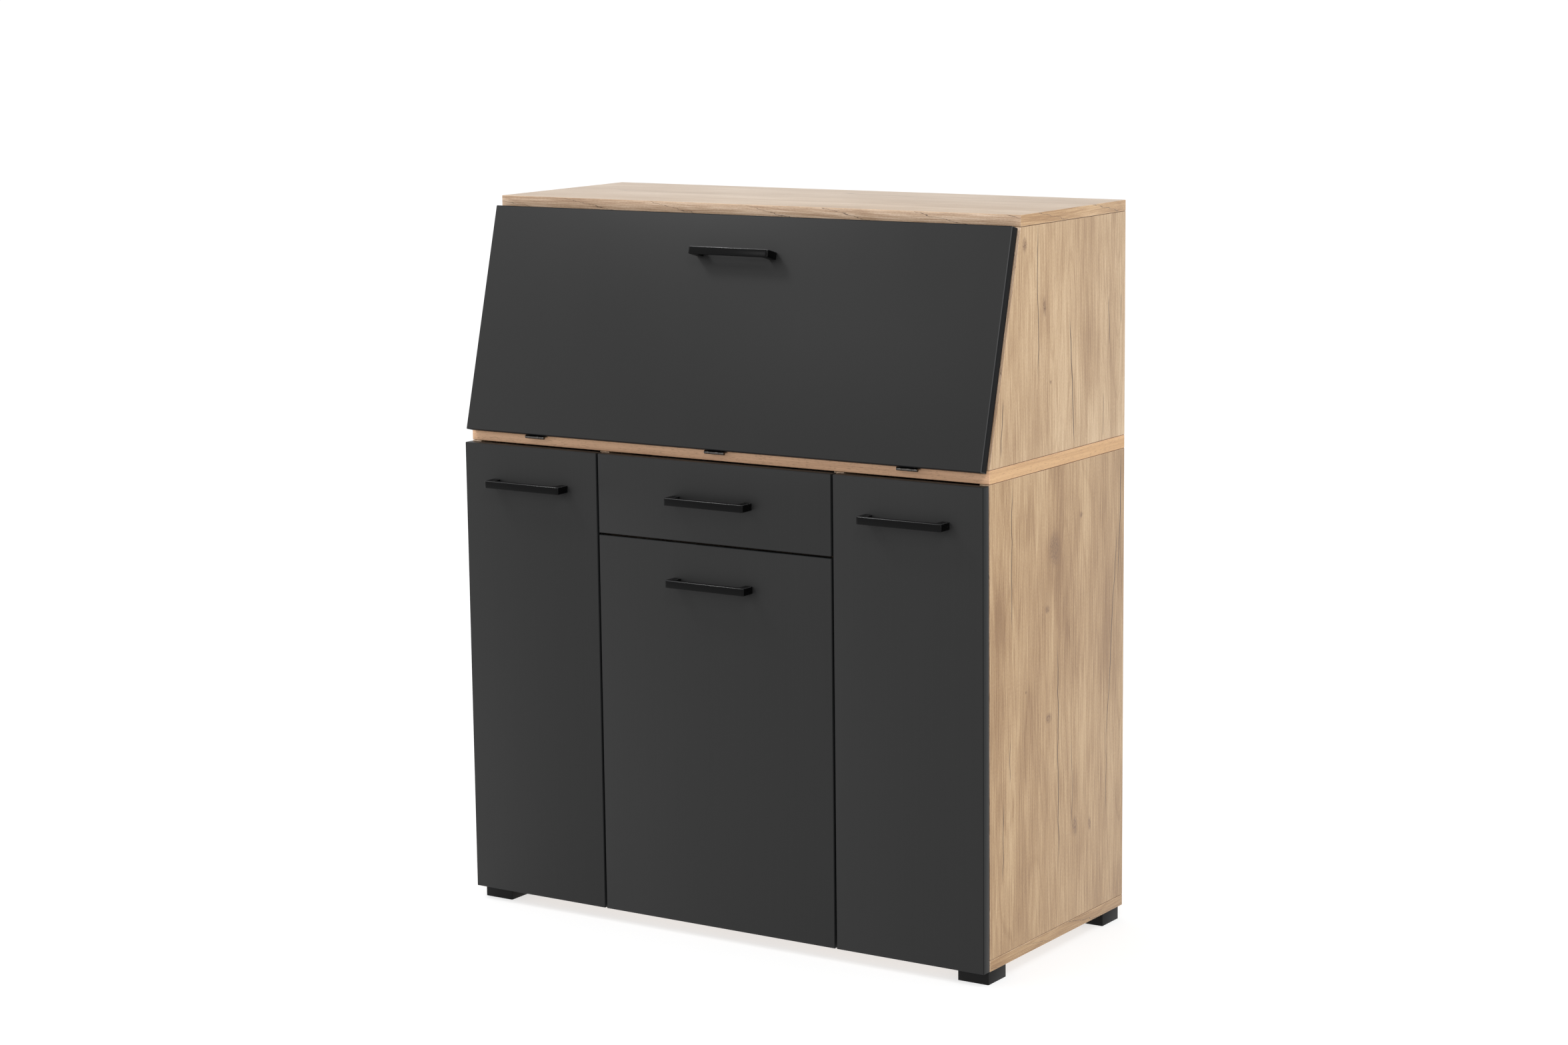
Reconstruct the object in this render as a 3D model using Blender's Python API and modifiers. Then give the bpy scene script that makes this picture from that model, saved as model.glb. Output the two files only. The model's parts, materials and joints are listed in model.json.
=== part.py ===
# Secretary desk: a three-column base cabinet, a desk board, and a writing compartment
# behind a leaning drop-down flap. Metres, +Z up, +Y towards the back, +X to the right.
# The origin is on the floor, under the middle of the whole object's box.
import math

import bmesh
import bpy
from mathutils import Matrix, Vector

# Carcass
WIDTH = 0.900
DEPTH = 0.400
PANEL = 0.016  # thickness of the chipboard panels
BOARD = 0.019  # thickness of the desk board
LOWER_HEIGHT = 0.677  # clear height of the base cabinet
UPPER_HEIGHT = 0.328  # clear height of the writing compartment
TOP_SETBACK = 0.087  # how far back the top panel starts
CENTRE_PITCH = 0.409  # between the middles of the two dividers
BACK_PANEL = 0.003
BACK_MARGIN = 0.002  # how far the back panels stop short of the carcass edges
FIT = 0.0003  # gap between pieces that touch
SHELF_PLAY = 0.001  # a loose shelf's gap at each end
SHELF_SETBACK = 0.020
LETTER_SHELF_RISE = 0.250  # underside of the letter shelf above the desk board
LETTER_SHELF_SETBACK = 0.012  # behind the flap
ARRIS = 0.0005  # rounding of the panels' edges

# Feet
FOOT_SIZE = 0.050
FOOT_HEIGHT = 0.020
FOOT_INSET = 0.003
REAR_FOOT_SETBACK = 0.010

# Fronts
FRONT = 0.016  # thickness of doors, drawer front and flap
FRONT_STANDOFF = 0.002  # behind the doors and the drawer front
FRONT_ARRIS = 0.001
TOP_GAP = 0.0015  # under the desk board
COLUMN_GAP = 0.003
DRAWER_FRONT_HEIGHT = 0.118
ROW_GAP = 0.003  # between the drawer front and the centre door
FLAP_SIDE_GAP = 0.003
FLAP_GAP = 0.002  # between the flap and the sides' leaning edges
FLAP_TOP_GAP = 0.0023  # how far it stops short of the slope's upper end

# Bar handles
HANDLE_LENGTH = 0.138
HANDLE_HEIGHT = 0.011
HANDLE_REACH = 0.025
HANDLE_LEG = 0.0125
HANDLE_BAR = 0.008
HANDLE_CORNER = 0.004
HANDLE_INNER_CORNER = 0.0015
HANDLE_DROP = 0.0575  # its middle below the front's top edge

# Door hinges: a cup in the door, and a bow arm that plunges into the cup
CUP_BORE = 0.0175
CUP_BORE_DEPTH = 0.0125
CUP_EDGE = 0.0032  # wood left between the bore and the door's edge
CUP_SHEET = 0.0005
CUP_FLANGE = 0.0009
CUP_FLANGE_LENGTH = 0.050
CUP_FLANGE_WIDTH = 0.012
PIVOT_EDGE = 0.006  # the hinge axis from the door's edge
PIVOT_DEPTH = 0.0098  # the hinge axis in front of the door's inner face
HINGE_PIN = 0.00065
PIN_PLAY = 0.0003
BOW_SHEET = 0.0016
BOW_WIDTH = 0.007
BOW_SPACE = 0.004  # between the side panel's inner face and the bow's straight leg
BOW_BEND = 0.0035
BOW_EYE = 0.0015
ARM_LENGTH = 0.062
ARM_BODY_START = 0.012  # behind the door's inner face
ARM_BODY = 0.014
PLATE_SHEET = 0.0023
PLATE_HEIGHT = 0.037
PLATE_START = 0.026
HINGE_FROM_END = 0.100  # hinge's middle from the door's top and bottom edge

# Flap hinges: a cup in the desk board, a cup in the flap, and a knuckle between
FLAP_HINGE_PITCH = 0.324
FLAP_CUP_DEPTH = 0.011
FLAP_CUP_BORE_DEPTH = 0.0116
FLAP_CUP_CENTRE = 0.020  # from the board's front edge, and from the flap's lower edge
STRAP_REACH = 0.010  # how far the leaves' straps run towards the cups' middles
FLAP_CUP_RIM = 0.0032
FLAP_CUP_DISH_DEPTH = 0.008
FLUSH = 0.0001  # how far a leaf lies under the wood's face
AXIS_UNDER_FACE = 0.0057  # the axis below the desk board's top
KNUCKLE = 0.0026
KNUCKLE_HALF = 0.017
KNUCKLE_MIDDLE = 0.0078
KNUCKLE_GAP = 0.0005
KNUCKLE_TO_FLAP = 0.00034  # between the knuckles and the flap's lower edge
FLAP_PIN = 0.001
FLAP_PIN_END = 0.001  # how far the pin stops inside the outer knuckles
LEAF = 0.0012
LEAF_STANDOFF = 0.0004  # between the fixed leaf's neck and the board's front edge

# Flap stays: a rear arm on each upper side, and a front arm on the flap
STAY_POST_BACK = 0.240  # the rear arm's pivot behind the carcass front
STAY_POST_RISE = 0.128  # and above the desk board
STAY_REAR_ARM = 0.105
STAY_FLAP_RISE = 0.110  # the front arm's pivot, along the flap from the hinge axis
STAY_FLAP_STANDOFF = 0.007  # and behind the flap's inner face
STAY_OPEN_BEND = 0.25  # angle left between the arms when the flap is open, radians
STAY_BAR = 0.012
STAY_SHEET = 0.002
STAY_LAYER = 0.003  # from one layer of the stay to the next
STAY_BOSS = 0.005
STAY_PIN = 0.002
STAY_BRACKET_LENGTH = 0.028
STAY_BRACKET_WIDTH = 0.016
STAY_BRACKET_SHEET = 0.0015

# Drawer
DRAWER_SIDE = 0.012
DRAWER_SIDE_HEIGHT = 0.080
DRAWER_BACK_SPACE = 0.054  # between the drawer and the back panel
DRAWER_SIDE_PLAY = 0.002
DRAWER_RISE = 0.012  # above the shelf under it
DRAWER_BOTTOM = 0.003
DRAWER_BOTTOM_RISE = 0.009
DRAWER_GROOVE = 0.005  # depth of the groove that holds the bottom
RUNNER_HEIGHT = 0.016
RUNNER_WIDTH = 0.0085
RUNNER_GROOVE = 0.0072
RUNNER_SHORT = 0.010  # how much shorter the runner is than the drawer
RUNNER_RISE = 0.046  # middle of the runner above the drawer side's lower edge

ROUND = 24  # sides of a round piece
SMALL_ROUND = 16  # sides of a small one
PIN_ROUND = 12  # sides of a thin pin
SHARP = math.radians(35)  # edges sharper than this stay crisp
MERGE = 1e-6  # points closer than this are one
SEAM = 0.00005  # step between faces of one piece that would otherwise lie in one plane
OVERCUT = 0.001  # how far a cutter runs past the face it cuts

# Worked out from the sizes above
FRONT_REACH = FRONT_STANDOFF + FRONT + HANDLE_REACH
FRONT_Y = (FRONT_REACH - DEPTH) / 2  # the carcass front plane
BACK_Y = FRONT_Y + DEPTH
CARCASS_BACK = BACK_Y - BACK_PANEL - FIT
BOTTOM_Z = FOOT_HEIGHT
FLOOR_Z = BOTTOM_Z + PANEL
BOARD_Z = FLOOR_Z + LOWER_HEIGHT
DESK_Z = BOARD_Z + BOARD
TOP_Z = DESK_Z + UPPER_HEIGHT
HEIGHT = TOP_Z + PANEL
SIDE_X = WIDTH / 2
INNER_X = SIDE_X - PANEL
DIVIDER_X = CENTRE_PITCH / 2
BAY_X = DIVIDER_X - PANEL / 2
CENTRE_X = (CENTRE_PITCH - COLUMN_GAP) / 2
DOOR_BACK = FRONT_Y - FRONT_STANDOFF
DOOR_TOP = BOARD_Z - TOP_GAP
DRAWER_FRONT_Z = DOOR_TOP - DRAWER_FRONT_HEIGHT
CENTRE_DOOR_TOP = DRAWER_FRONT_Z - ROW_GAP
DRAWER_SHELF_Z = DRAWER_FRONT_Z - (ROW_GAP + PANEL) / 2
SLOPE = math.atan2(TOP_SETBACK, UPPER_HEIGHT)
FLAP_AXIS_Y = FRONT_Y - (FLAP_GAP + AXIS_UNDER_FACE * (1 + math.sin(SLOPE))) / math.cos(SLOPE)
FLAP_AXIS_Z = DESK_Z - AXIS_UNDER_FACE
EDGE_Y = FRONT_Y - FLAP_AXIS_Y
FLAP_RISE = KNUCKLE + KNUCKLE_TO_FLAP  # the flap's lower edge from the axis, along the flap
FLAP_DROP = EDGE_Y * math.sin(SLOPE) + AXIS_UNDER_FACE * math.cos(SLOPE) - FLAP_RISE
FLAP_LENGTH = UPPER_HEIGHT / math.cos(SLOPE) + FLAP_DROP - FLAP_TOP_GAP
FLAP_OPEN = math.pi / 2 + SLOPE
CUP_RADIUS = CUP_BORE - FIT
CUP_X = CUP_EDGE + CUP_BORE - PIVOT_EDGE  # the cup's middle from the hinge axis
FLAP_CUP_DISH = CUP_RADIUS - FLAP_CUP_RIM
BOW_REACH = PANEL - PIVOT_EDGE + BOW_SPACE
DRAWER_LENGTH = CARCASS_BACK - DOOR_BACK - DRAWER_BACK_SPACE
RUNNER_LENGTH = DRAWER_LENGTH - RUNNER_SHORT


def clear_scene():
    for obj in list(bpy.data.objects):
        bpy.data.objects.remove(obj, do_unlink=True)


def new_collection(name, hidden):
    collection = bpy.data.collections.new(name)
    bpy.context.scene.collection.children.link(collection)
    collection.hide_render = hidden
    return collection


def finish(name, colour, roughness, metallic=0.0):
    material = bpy.data.materials.new(name)
    material.use_nodes = True
    shader = material.node_tree.nodes["Principled BSDF"]
    shader.inputs["Base Color"].default_value = (*colour, 1)
    shader.inputs["Roughness"].default_value = roughness
    shader.inputs["Metallic"].default_value = metallic
    return material


def add(name, mesh, material, parent=None, at=(0, 0, 0), turn=(0, 0, 0), group=None):
    obj = bpy.data.objects.new(name, mesh)
    (group or desk).objects.link(obj)
    if material and not mesh.materials:
        mesh.materials.append(material)
    obj.parent = parent
    obj.location = at
    obj.rotation_euler = turn
    return obj


def axis_empty(name, at, turn=(0, 0, 0)):
    empty = bpy.data.objects.new(name, None)
    desk.objects.link(empty)
    empty.location = at
    empty.rotation_euler = turn
    empty.empty_display_size = 0.02
    return empty


def mesh_of(name, bm):
    mesh = bpy.data.meshes.new(name)
    bm.to_mesh(mesh)
    bm.free()
    return mesh


def block_mesh(name, low, high):
    # a box between two corners
    bm = bmesh.new()
    size = [b - a for a, b in zip(low, high)]
    middle = Vector([(a + b) / 2 for a, b in zip(low, high)])
    bmesh.ops.create_cube(bm, size=1, matrix=Matrix.Translation(middle) @ Matrix.Diagonal((*size, 1)))
    return mesh_of(name, bm)


def rod_mesh(name, start, end, radius, sides=ROUND):
    # a round bar between two points
    start = Vector(start)
    along = Vector(end) - start
    place = Matrix.Translation(start + along / 2) @ along.to_track_quat("Z", "Y").to_matrix().to_4x4()
    bm = bmesh.new()
    bmesh.ops.create_cone(
        bm, cap_ends=True, segments=sides, radius1=radius, radius2=radius, depth=along.length, matrix=place
    )
    return mesh_of(name, bm)


def prism_mesh(name, outline, thickness):
    # a flat outline in XY, thickened evenly along Z
    curve = bpy.data.curves.new(name, "CURVE")
    curve.dimensions = "2D"
    curve.fill_mode = "BOTH"
    curve.extrude = thickness / 2
    spline = curve.splines.new("POLY")
    spline.points.add(len(outline) - 1)
    for point, (x, y) in zip(spline.points, outline):
        point.co = (x, y, 0, 1)
    spline.use_cyclic_u = True
    guide = bpy.data.objects.new(name, curve)
    cutters.objects.link(guide)
    graph = bpy.context.evaluated_depsgraph_get()
    mesh = bpy.data.meshes.new_from_object(guide.evaluated_get(graph))
    bpy.data.objects.remove(guide, do_unlink=True)
    bm = bmesh.new()
    bm.from_mesh(mesh)
    bmesh.ops.remove_doubles(bm, verts=bm.verts, dist=MERGE)
    bmesh.ops.recalc_face_normals(bm, faces=bm.faces)
    bm.to_mesh(mesh)
    bm.free()
    return mesh


def side_prism_mesh(name, outline, left, right):
    # an outline drawn in depth and height, thickened along X from left to right
    mesh = prism_mesh(name, outline, abs(right - left))
    mesh.transform(Matrix(((0, 0, 1, (left + right) / 2), (1, 0, 0, 0), (0, 1, 0, 0), (0, 0, 0, 1))))
    return mesh


def arc(middle, radius, first, last, steps=4):
    # points on an arc, angles in degrees
    turns = [math.radians(first + (last - first) * i / steps) for i in range(steps + 1)]
    return [(middle[0] + radius * math.cos(t), middle[1] + radius * math.sin(t)) for t in turns]


def helper(target, mesh, operation):
    other = add(target.name + "_" + operation.lower(), mesh, None, target.parent, group=cutters)
    other.location = target.location
    other.rotation_euler = target.rotation_euler
    other.hide_render = True
    other.display_type = "WIRE"
    modifier = target.modifiers.new(operation.title(), "BOOLEAN")
    modifier.operation = operation
    modifier.solver = "EXACT"
    modifier.object = other


def cut(target, mesh):
    helper(target, mesh, "DIFFERENCE")


def join(target, mesh):
    helper(target, mesh, "UNION")


def built_mesh(name, first, joined=(), cuts=(), last=()):
    # one mesh from a first solid, what is joined to it, what is cut from it, and what is joined at the end
    obj = add(name, first, None, group=cutters)
    for mesh in joined:
        join(obj, mesh)
    for mesh in cuts:
        cut(obj, mesh)
    for mesh in last:
        join(obj, mesh)
    graph = bpy.context.evaluated_depsgraph_get()
    mesh = bpy.data.meshes.new_from_object(obj.evaluated_get(graph))
    for modifier in obj.modifiers:
        bpy.data.objects.remove(modifier.object, do_unlink=True)
    bpy.data.objects.remove(obj, do_unlink=True)
    mesh.name = name
    mesh.shade_smooth()
    mesh.set_sharp_from_angle(angle=SHARP)
    return mesh


def round_edges(obj, width, steps=2):
    modifier = obj.modifiers.new("Arris", "BEVEL")
    modifier.width = width
    modifier.segments = steps
    modifier.limit_method = "ANGLE"


def panel(name, low, high, material, parent=None, arris=ARRIS, steps=2):
    # a board between two corners, given in its parent's frame, with its own origin in its middle
    middle = Vector([(a + b) / 2 for a, b in zip(low, high)])
    mesh = block_mesh(name, Vector(low) - middle, Vector(high) - middle)
    obj = add(name, mesh, material, parent, middle)
    if arris:
        round_edges(obj, arris, steps)
    return obj


def make_base():
    low = FLOOR_Z + FIT
    high = BOARD_Z - FIT
    panel("bottom_panel", (-SIDE_X, FRONT_Y, BOTTOM_Z), (SIDE_X, CARCASS_BACK, FLOOR_Z), oak)
    for word, side in SIDES:
        edges = sorted((side * INNER_X, side * SIDE_X))
        panel(word + "_lower_side", (edges[0], FRONT_Y, low), (edges[1], CARCASS_BACK, high), oak)
        edges = sorted((side * BAY_X, side * (DIVIDER_X + PANEL / 2)))
        panel(word + "_divider", (edges[0], FRONT_Y, low), (edges[1], CARCASS_BACK, high), oak)
    reach = BAY_X - FIT
    shelf_top = DRAWER_SHELF_Z + PANEL
    panel("drawer_shelf", (-reach, FRONT_Y, DRAWER_SHELF_Z), (reach, CARCASS_BACK, shelf_top), oak)


def make_shelves():
    # one loose shelf half-way up each compartment
    column = (DIVIDER_X + PANEL / 2 + SHELF_PLAY, INNER_X - SHELF_PLAY)
    bays = {
        "left_shelf": (-column[1], -column[0], (FLOOR_Z + BOARD_Z) / 2),
        "centre_shelf": (-BAY_X + SHELF_PLAY, BAY_X - SHELF_PLAY, (FLOOR_Z + DRAWER_SHELF_Z) / 2),
        "right_shelf": (column[0], column[1], (FLOOR_Z + BOARD_Z) / 2),
    }
    for name, (left, right, middle) in bays.items():
        low = (left, FRONT_Y + SHELF_SETBACK, middle - PANEL / 2)
        panel(name, low, (right, CARCASS_BACK - SHELF_PLAY, middle + PANEL / 2), oak)


def make_feet():
    near = SIDE_X - FOOT_INSET
    rows = {"front": FRONT_Y, "rear": BACK_Y - REAR_FOOT_SETBACK - FOOT_SIZE}
    for row, y in rows.items():
        for word, side in SIDES:
            x = sorted((side * near, side * (near - FOOT_SIZE)))
            low = (x[0], y, 0)
            panel(f"{row}_{word}_foot", low, (x[1], y + FOOT_SIZE, FOOT_HEIGHT - FIT), black_plastic)


def make_desk_board():
    board = panel("desk_board", (-SIDE_X, FRONT_Y, BOARD_Z), (SIDE_X, CARCASS_BACK, DESK_Z), beech, steps=1)
    shift = Vector((0, FLAP_AXIS_Y, FLAP_AXIS_Z)) - board.location
    for x in FLAP_HINGES:
        middle = shift + Vector((x, EDGE_Y + FLAP_CUP_CENTRE, AXIS_UNDER_FACE))
        deep = middle - Vector((0, 0, FLAP_CUP_BORE_DEPTH))
        cut(board, rod_mesh("bore", deep, middle + Vector((0, 0, OVERCUT)), CUP_BORE))
        notch = KNUCKLE_HALF + LEAF_STANDOFF
        low = shift + Vector((x - notch, EDGE_Y - OVERCUT, AXIS_UNDER_FACE - LEAF - FLUSH - FIT))
        high = shift + Vector((x + notch, EDGE_Y + STRAP_REACH, AXIS_UNDER_FACE + OVERCUT))
        cut(board, block_mesh("notch", low, high))


def make_writing_compartment():
    low = DESK_Z + FIT
    high = TOP_Z - FIT
    lean = TOP_SETBACK / UPPER_HEIGHT
    front_low = FRONT_Y + lean * (low - DESK_Z)
    front_high = FRONT_Y + lean * (high - DESK_Z)
    outline = [(front_low, low), (CARCASS_BACK, low), (CARCASS_BACK, high), (front_high, high)]
    middle = ((FRONT_Y + CARCASS_BACK) / 2, (low + high) / 2)
    outline = [(y - middle[0], z - middle[1]) for y, z in outline]
    for word, side in SIDES:
        mesh = side_prism_mesh(word + "_upper_side", outline, -PANEL / 2, PANEL / 2)
        obj = add(word + "_upper_side", mesh, oak, at=(side * (SIDE_X - PANEL / 2), *middle))
        round_edges(obj, ARRIS)
    panel("top_panel", (-SIDE_X, FRONT_Y + TOP_SETBACK, TOP_Z), (SIDE_X, CARCASS_BACK, HEIGHT), oak)
    shelf_z = DESK_Z + LETTER_SHELF_RISE
    shelf_y = FRONT_Y + lean * (LETTER_SHELF_RISE + PANEL) + LETTER_SHELF_SETBACK
    reach = INNER_X - FIT
    low = (-reach, shelf_y, shelf_z)
    panel("letter_shelf", low, (reach, CARCASS_BACK - SHELF_PLAY, shelf_z + PANEL), oak)


def make_backs():
    edge = BACK_MARGIN
    middle = DESK_Z - BOARD / 2
    low = (-SIDE_X + edge, BACK_Y - BACK_PANEL, BOTTOM_Z + edge)
    panel("lower_back_panel", low, (SIDE_X - edge, BACK_Y, middle - edge / 2), hardboard, arris=0)
    low = (-SIDE_X + edge, BACK_Y - BACK_PANEL, middle + edge / 2)
    panel("upper_back_panel", low, (SIDE_X - edge, BACK_Y, HEIGHT - edge), hardboard, arris=0)


def handle_mesh():
    # seen from above: two legs on the front and a bar across them, with round outer corners
    half = HANDLE_LENGTH / 2
    leg = half - HANDLE_LEG
    face = -HANDLE_REACH
    inner = face + HANDLE_BAR
    r = HANDLE_CORNER
    s = HANDLE_INNER_CORNER
    outline = [(-half, -FIT), *arc((-half + r, face + r), r, 180, 270)]
    outline += [*arc((half - r, face + r), r, 270, 360), (half, -FIT)]
    outline += [(leg, -FIT), *arc((leg - s, inner + s), s, 0, -90, 2)]
    outline += [*arc((-leg + s, inner + s), s, -90, -180, 2), (-leg, -FIT)]
    return prism_mesh("bar_handle", outline, HANDLE_HEIGHT)


def add_handle(name, x, face, top, parent):
    add(name, handle_shape, black_metal, parent, (x, face, top - HANDLE_DROP))


def hinge_cup_mesh():
    # In the hinge's own frame: the axis is Z, X runs into the door, -Y to the door's front face
    back = PIVOT_DEPTH
    rim = back + FIT + CUP_FLANGE
    floor = back - CUP_BORE_DEPTH + FIT
    well = CUP_RADIUS - CUP_SHEET
    x = CUP_X
    half_pin = math.sqrt(well**2 - CUP_X**2) + (CUP_SHEET + FIT) / 2
    half = CUP_FLANGE_LENGTH / 2
    low = (x - CUP_FLANGE_WIDTH / 2, back + FIT, -half)
    flange = block_mesh("flange", low, (x + CUP_FLANGE_WIDTH / 2, rim - SEAM, half))
    return built_mesh(
        "door_hinge_cup",
        rod_mesh("cup", (x, floor, 0), (x, rim, 0), CUP_RADIUS),
        joined=[flange],
        cuts=[rod_mesh("well", (x, floor + CUP_SHEET, 0), (x, rim + OVERCUT, 0), well)],
        last=[rod_mesh("pin", (0, 0, -half_pin), (0, 0, half_pin), HINGE_PIN, PIN_ROUND)],
    )


def strip_outline(path, thickness):
    # both edges of a bent strip that follows a path of points
    points = [Vector(p) for p in path]
    left = []
    right = []
    for i, point in enumerate(points):
        before = points[max(i - 1, 0)]
        after = points[min(i + 1, len(points) - 1)]
        along = (after - before).normalized()
        across = Vector((-along.y, along.x)) * thickness / 2
        left.append(tuple(point + across))
        right.append(tuple(point - across))
    return left + right[::-1]


def hinge_arm_mesh(overlay):
    # overlay is how far the door covers the panel that the arm is screwed to
    hole = HINGE_PIN + PIN_PLAY
    start = hole - SEAM
    bend = arc((BOW_REACH - BOW_BEND, BOW_BEND), BOW_BEND, -90, 0, 5)
    leg_end = PIVOT_DEPTH + ARM_LENGTH
    path = [(start, 0), *bend, (BOW_REACH, leg_end - BOW_SHEET)]
    bow = prism_mesh("bow", strip_outline(path, BOW_SHEET), BOW_WIDTH)
    face = overlay - PIVOT_EDGE + FIT
    outer = BOW_REACH + BOW_SHEET
    half = ARM_BODY / 2
    low = (face + PLATE_SHEET / 2, PIVOT_DEPTH + ARM_BODY_START, -half)
    body = block_mesh("body", low, (outer, leg_end, half))
    low = (face, PIVOT_DEPTH + PLATE_START, -PLATE_HEIGHT / 2)
    plate = block_mesh("plate", low, (face + PLATE_SHEET, leg_end + PLATE_SHEET, PLATE_HEIGHT / 2))
    eye_half = BOW_WIDTH / 2 - SEAM
    return built_mesh(
        "door_hinge_arm",
        bow,
        joined=[rod_mesh("eye", (0, 0, -eye_half), (0, 0, eye_half), BOW_EYE, SMALL_ROUND), body, plate],
        cuts=[rod_mesh("hole", (0, 0, -eye_half * 2), (0, 0, eye_half * 2), hole, PIN_ROUND)],
    )


def make_door(name, left, right, top, opens_left, overlay):
    # opens_left: the hinges are on the door's left edge
    way = 1 if opens_left else -1
    edge = left if opens_left else right
    axis_x = edge + way * PIVOT_EDGE
    axis_y = DOOR_BACK - PIVOT_DEPTH
    axis = axis_empty(name + "_axis", (axis_x, axis_y, BOTTOM_Z))
    low = (left - axis_x, -FRONT + PIVOT_DEPTH, 0)
    high = (right - axis_x, PIVOT_DEPTH, top - BOTTOM_Z)
    door = panel(name, low, high, graphite, axis, FRONT_ARRIS)
    add_handle(name + "_handle", (left + right) / 2 - axis_x, PIVOT_DEPTH - FRONT, top - BOTTOM_Z, axis)
    flip = (0, 0 if opens_left else math.pi, 0)
    arm_shape = hinge_arm_mesh(overlay)
    for level, z in (("lower", HINGE_FROM_END), ("upper", top - BOTTOM_Z - HINGE_FROM_END)):
        middle = Vector((way * CUP_X, PIVOT_DEPTH, z)) - door.location
        deep = middle - Vector((0, CUP_BORE_DEPTH, 0))
        cut(door, rod_mesh("bore", deep, middle + Vector((0, OVERCUT, 0)), CUP_BORE))
        add(f"{name}_{level}_hinge_cup", cup_shape, nickel, axis, (0, 0, z), flip)
        add(f"{name}_{level}_hinge_arm", arm_shape, nickel, None, (axis_x, axis_y, BOTTOM_Z + z), flip)


def make_drawer():
    axis = axis_empty("drawer_axis", (0, DOOR_BACK, DRAWER_FRONT_Z))
    low = (-CENTRE_X, -FRONT, 0)
    panel("drawer_front", low, (CENTRE_X, 0, DRAWER_FRONT_HEIGHT), graphite, axis, FRONT_ARRIS)
    add_handle("drawer_handle", 0, -FRONT, DRAWER_FRONT_HEIGHT, axis)
    outer = BAY_X - DRAWER_SIDE_PLAY
    inner = outer - DRAWER_SIDE
    z = DRAWER_SHELF_Z + PANEL + DRAWER_RISE - DRAWER_FRONT_Z
    top = z + DRAWER_SIDE_HEIGHT
    sheet_z = z + DRAWER_BOTTOM_RISE
    sheet_top = sheet_z + DRAWER_BOTTOM
    rail = z + RUNNER_RISE
    for word, side in SIDES:
        x = sorted((side * inner, side * outer))
        high = (x[1], DRAWER_LENGTH, top)
        wall = panel(f"drawer_{word}_side", (x[0], FIT, z), high, white_board, axis, steps=1)
        slot = RUNNER_HEIGHT / 2 + FIT
        x = sorted((side * (outer - RUNNER_GROOVE), side * (outer + OVERCUT)))
        low = Vector((x[0], -OVERCUT, rail - slot)) - wall.location
        high = Vector((x[1], DRAWER_LENGTH + OVERCUT, rail + slot)) - wall.location
        cut(wall, block_mesh("runner_groove", low, high))
        x = sorted((side * (inner - OVERCUT), side * (inner + DRAWER_GROOVE)))
        low = Vector((x[0], -OVERCUT, sheet_z - FIT)) - wall.location
        high = Vector((x[1], DRAWER_LENGTH + OVERCUT, sheet_top + FIT)) - wall.location
        cut(wall, block_mesh("bottom_groove", low, high))
        x = sorted((side * (BAY_X - FIT), side * (BAY_X - FIT - RUNNER_WIDTH)))
        z0 = DRAWER_FRONT_Z + rail - RUNNER_HEIGHT / 2
        low = (x[0], FRONT_Y + FRONT_STANDOFF, z0)
        high = (x[1], FRONT_Y + FRONT_STANDOFF + RUNNER_LENGTH, z0 + RUNNER_HEIGHT)
        panel(f"{word}_drawer_runner", low, high, white_plastic, steps=1)
    reach = inner - FIT
    low = (-reach, DRAWER_LENGTH - DRAWER_SIDE, sheet_top + FIT)
    panel("drawer_back", low, (reach, DRAWER_LENGTH, top), white_board, axis, steps=1)
    reach = inner + DRAWER_GROOVE - FIT
    high = (reach, DRAWER_LENGTH, sheet_top)
    panel("drawer_bottom", (-reach, FIT, sheet_z), high, hardboard, axis, arris=0)


def fixed_leaf_mesh():
    # around the flap's axis: a cup in the board, a neck over its front edge, and two outer knuckles
    face = AXIS_UNDER_FACE - FLUSH
    middle = EDGE_Y + FLAP_CUP_CENTRE
    inner = KNUCKLE_MIDDLE + KNUCKLE_GAP
    neck = EDGE_Y - LEAF_STANDOFF
    rear = EDGE_Y + STRAP_REACH
    top = face - SEAM
    half = LEAF / 2
    strap = [(0, -half), (neck, -half), (neck, top - LEAF), (rear, top - LEAF)]
    strap += [(rear, top), (neck - LEAF, top), (neck - LEAF, half), (0, half)]
    joined = []
    for side in (-1, 1):
        joined.append(rod_mesh("knuckle", (side * inner, 0, 0), (side * KNUCKLE_HALF, 0, 0), KNUCKLE))
        near = side * (inner + SEAM)
        joined.append(side_prism_mesh("strap", strap, near, side * (KNUCKLE_HALF - SEAM)))
    low = face - FLAP_CUP_DISH_DEPTH
    dish = rod_mesh("dish", (0, middle, low), (0, middle, face + OVERCUT), FLAP_CUP_DISH)
    end = KNUCKLE_HALF - FLAP_PIN_END
    return built_mesh(
        "fixed_leaf",
        rod_mesh("cup", (0, middle, face - FLAP_CUP_DEPTH), (0, middle, face), CUP_RADIUS),
        joined=joined,
        cuts=[dish],
        last=[rod_mesh("pin", (-end, 0, 0), (end, 0, 0), FLAP_PIN, PIN_ROUND)],
    )


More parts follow.
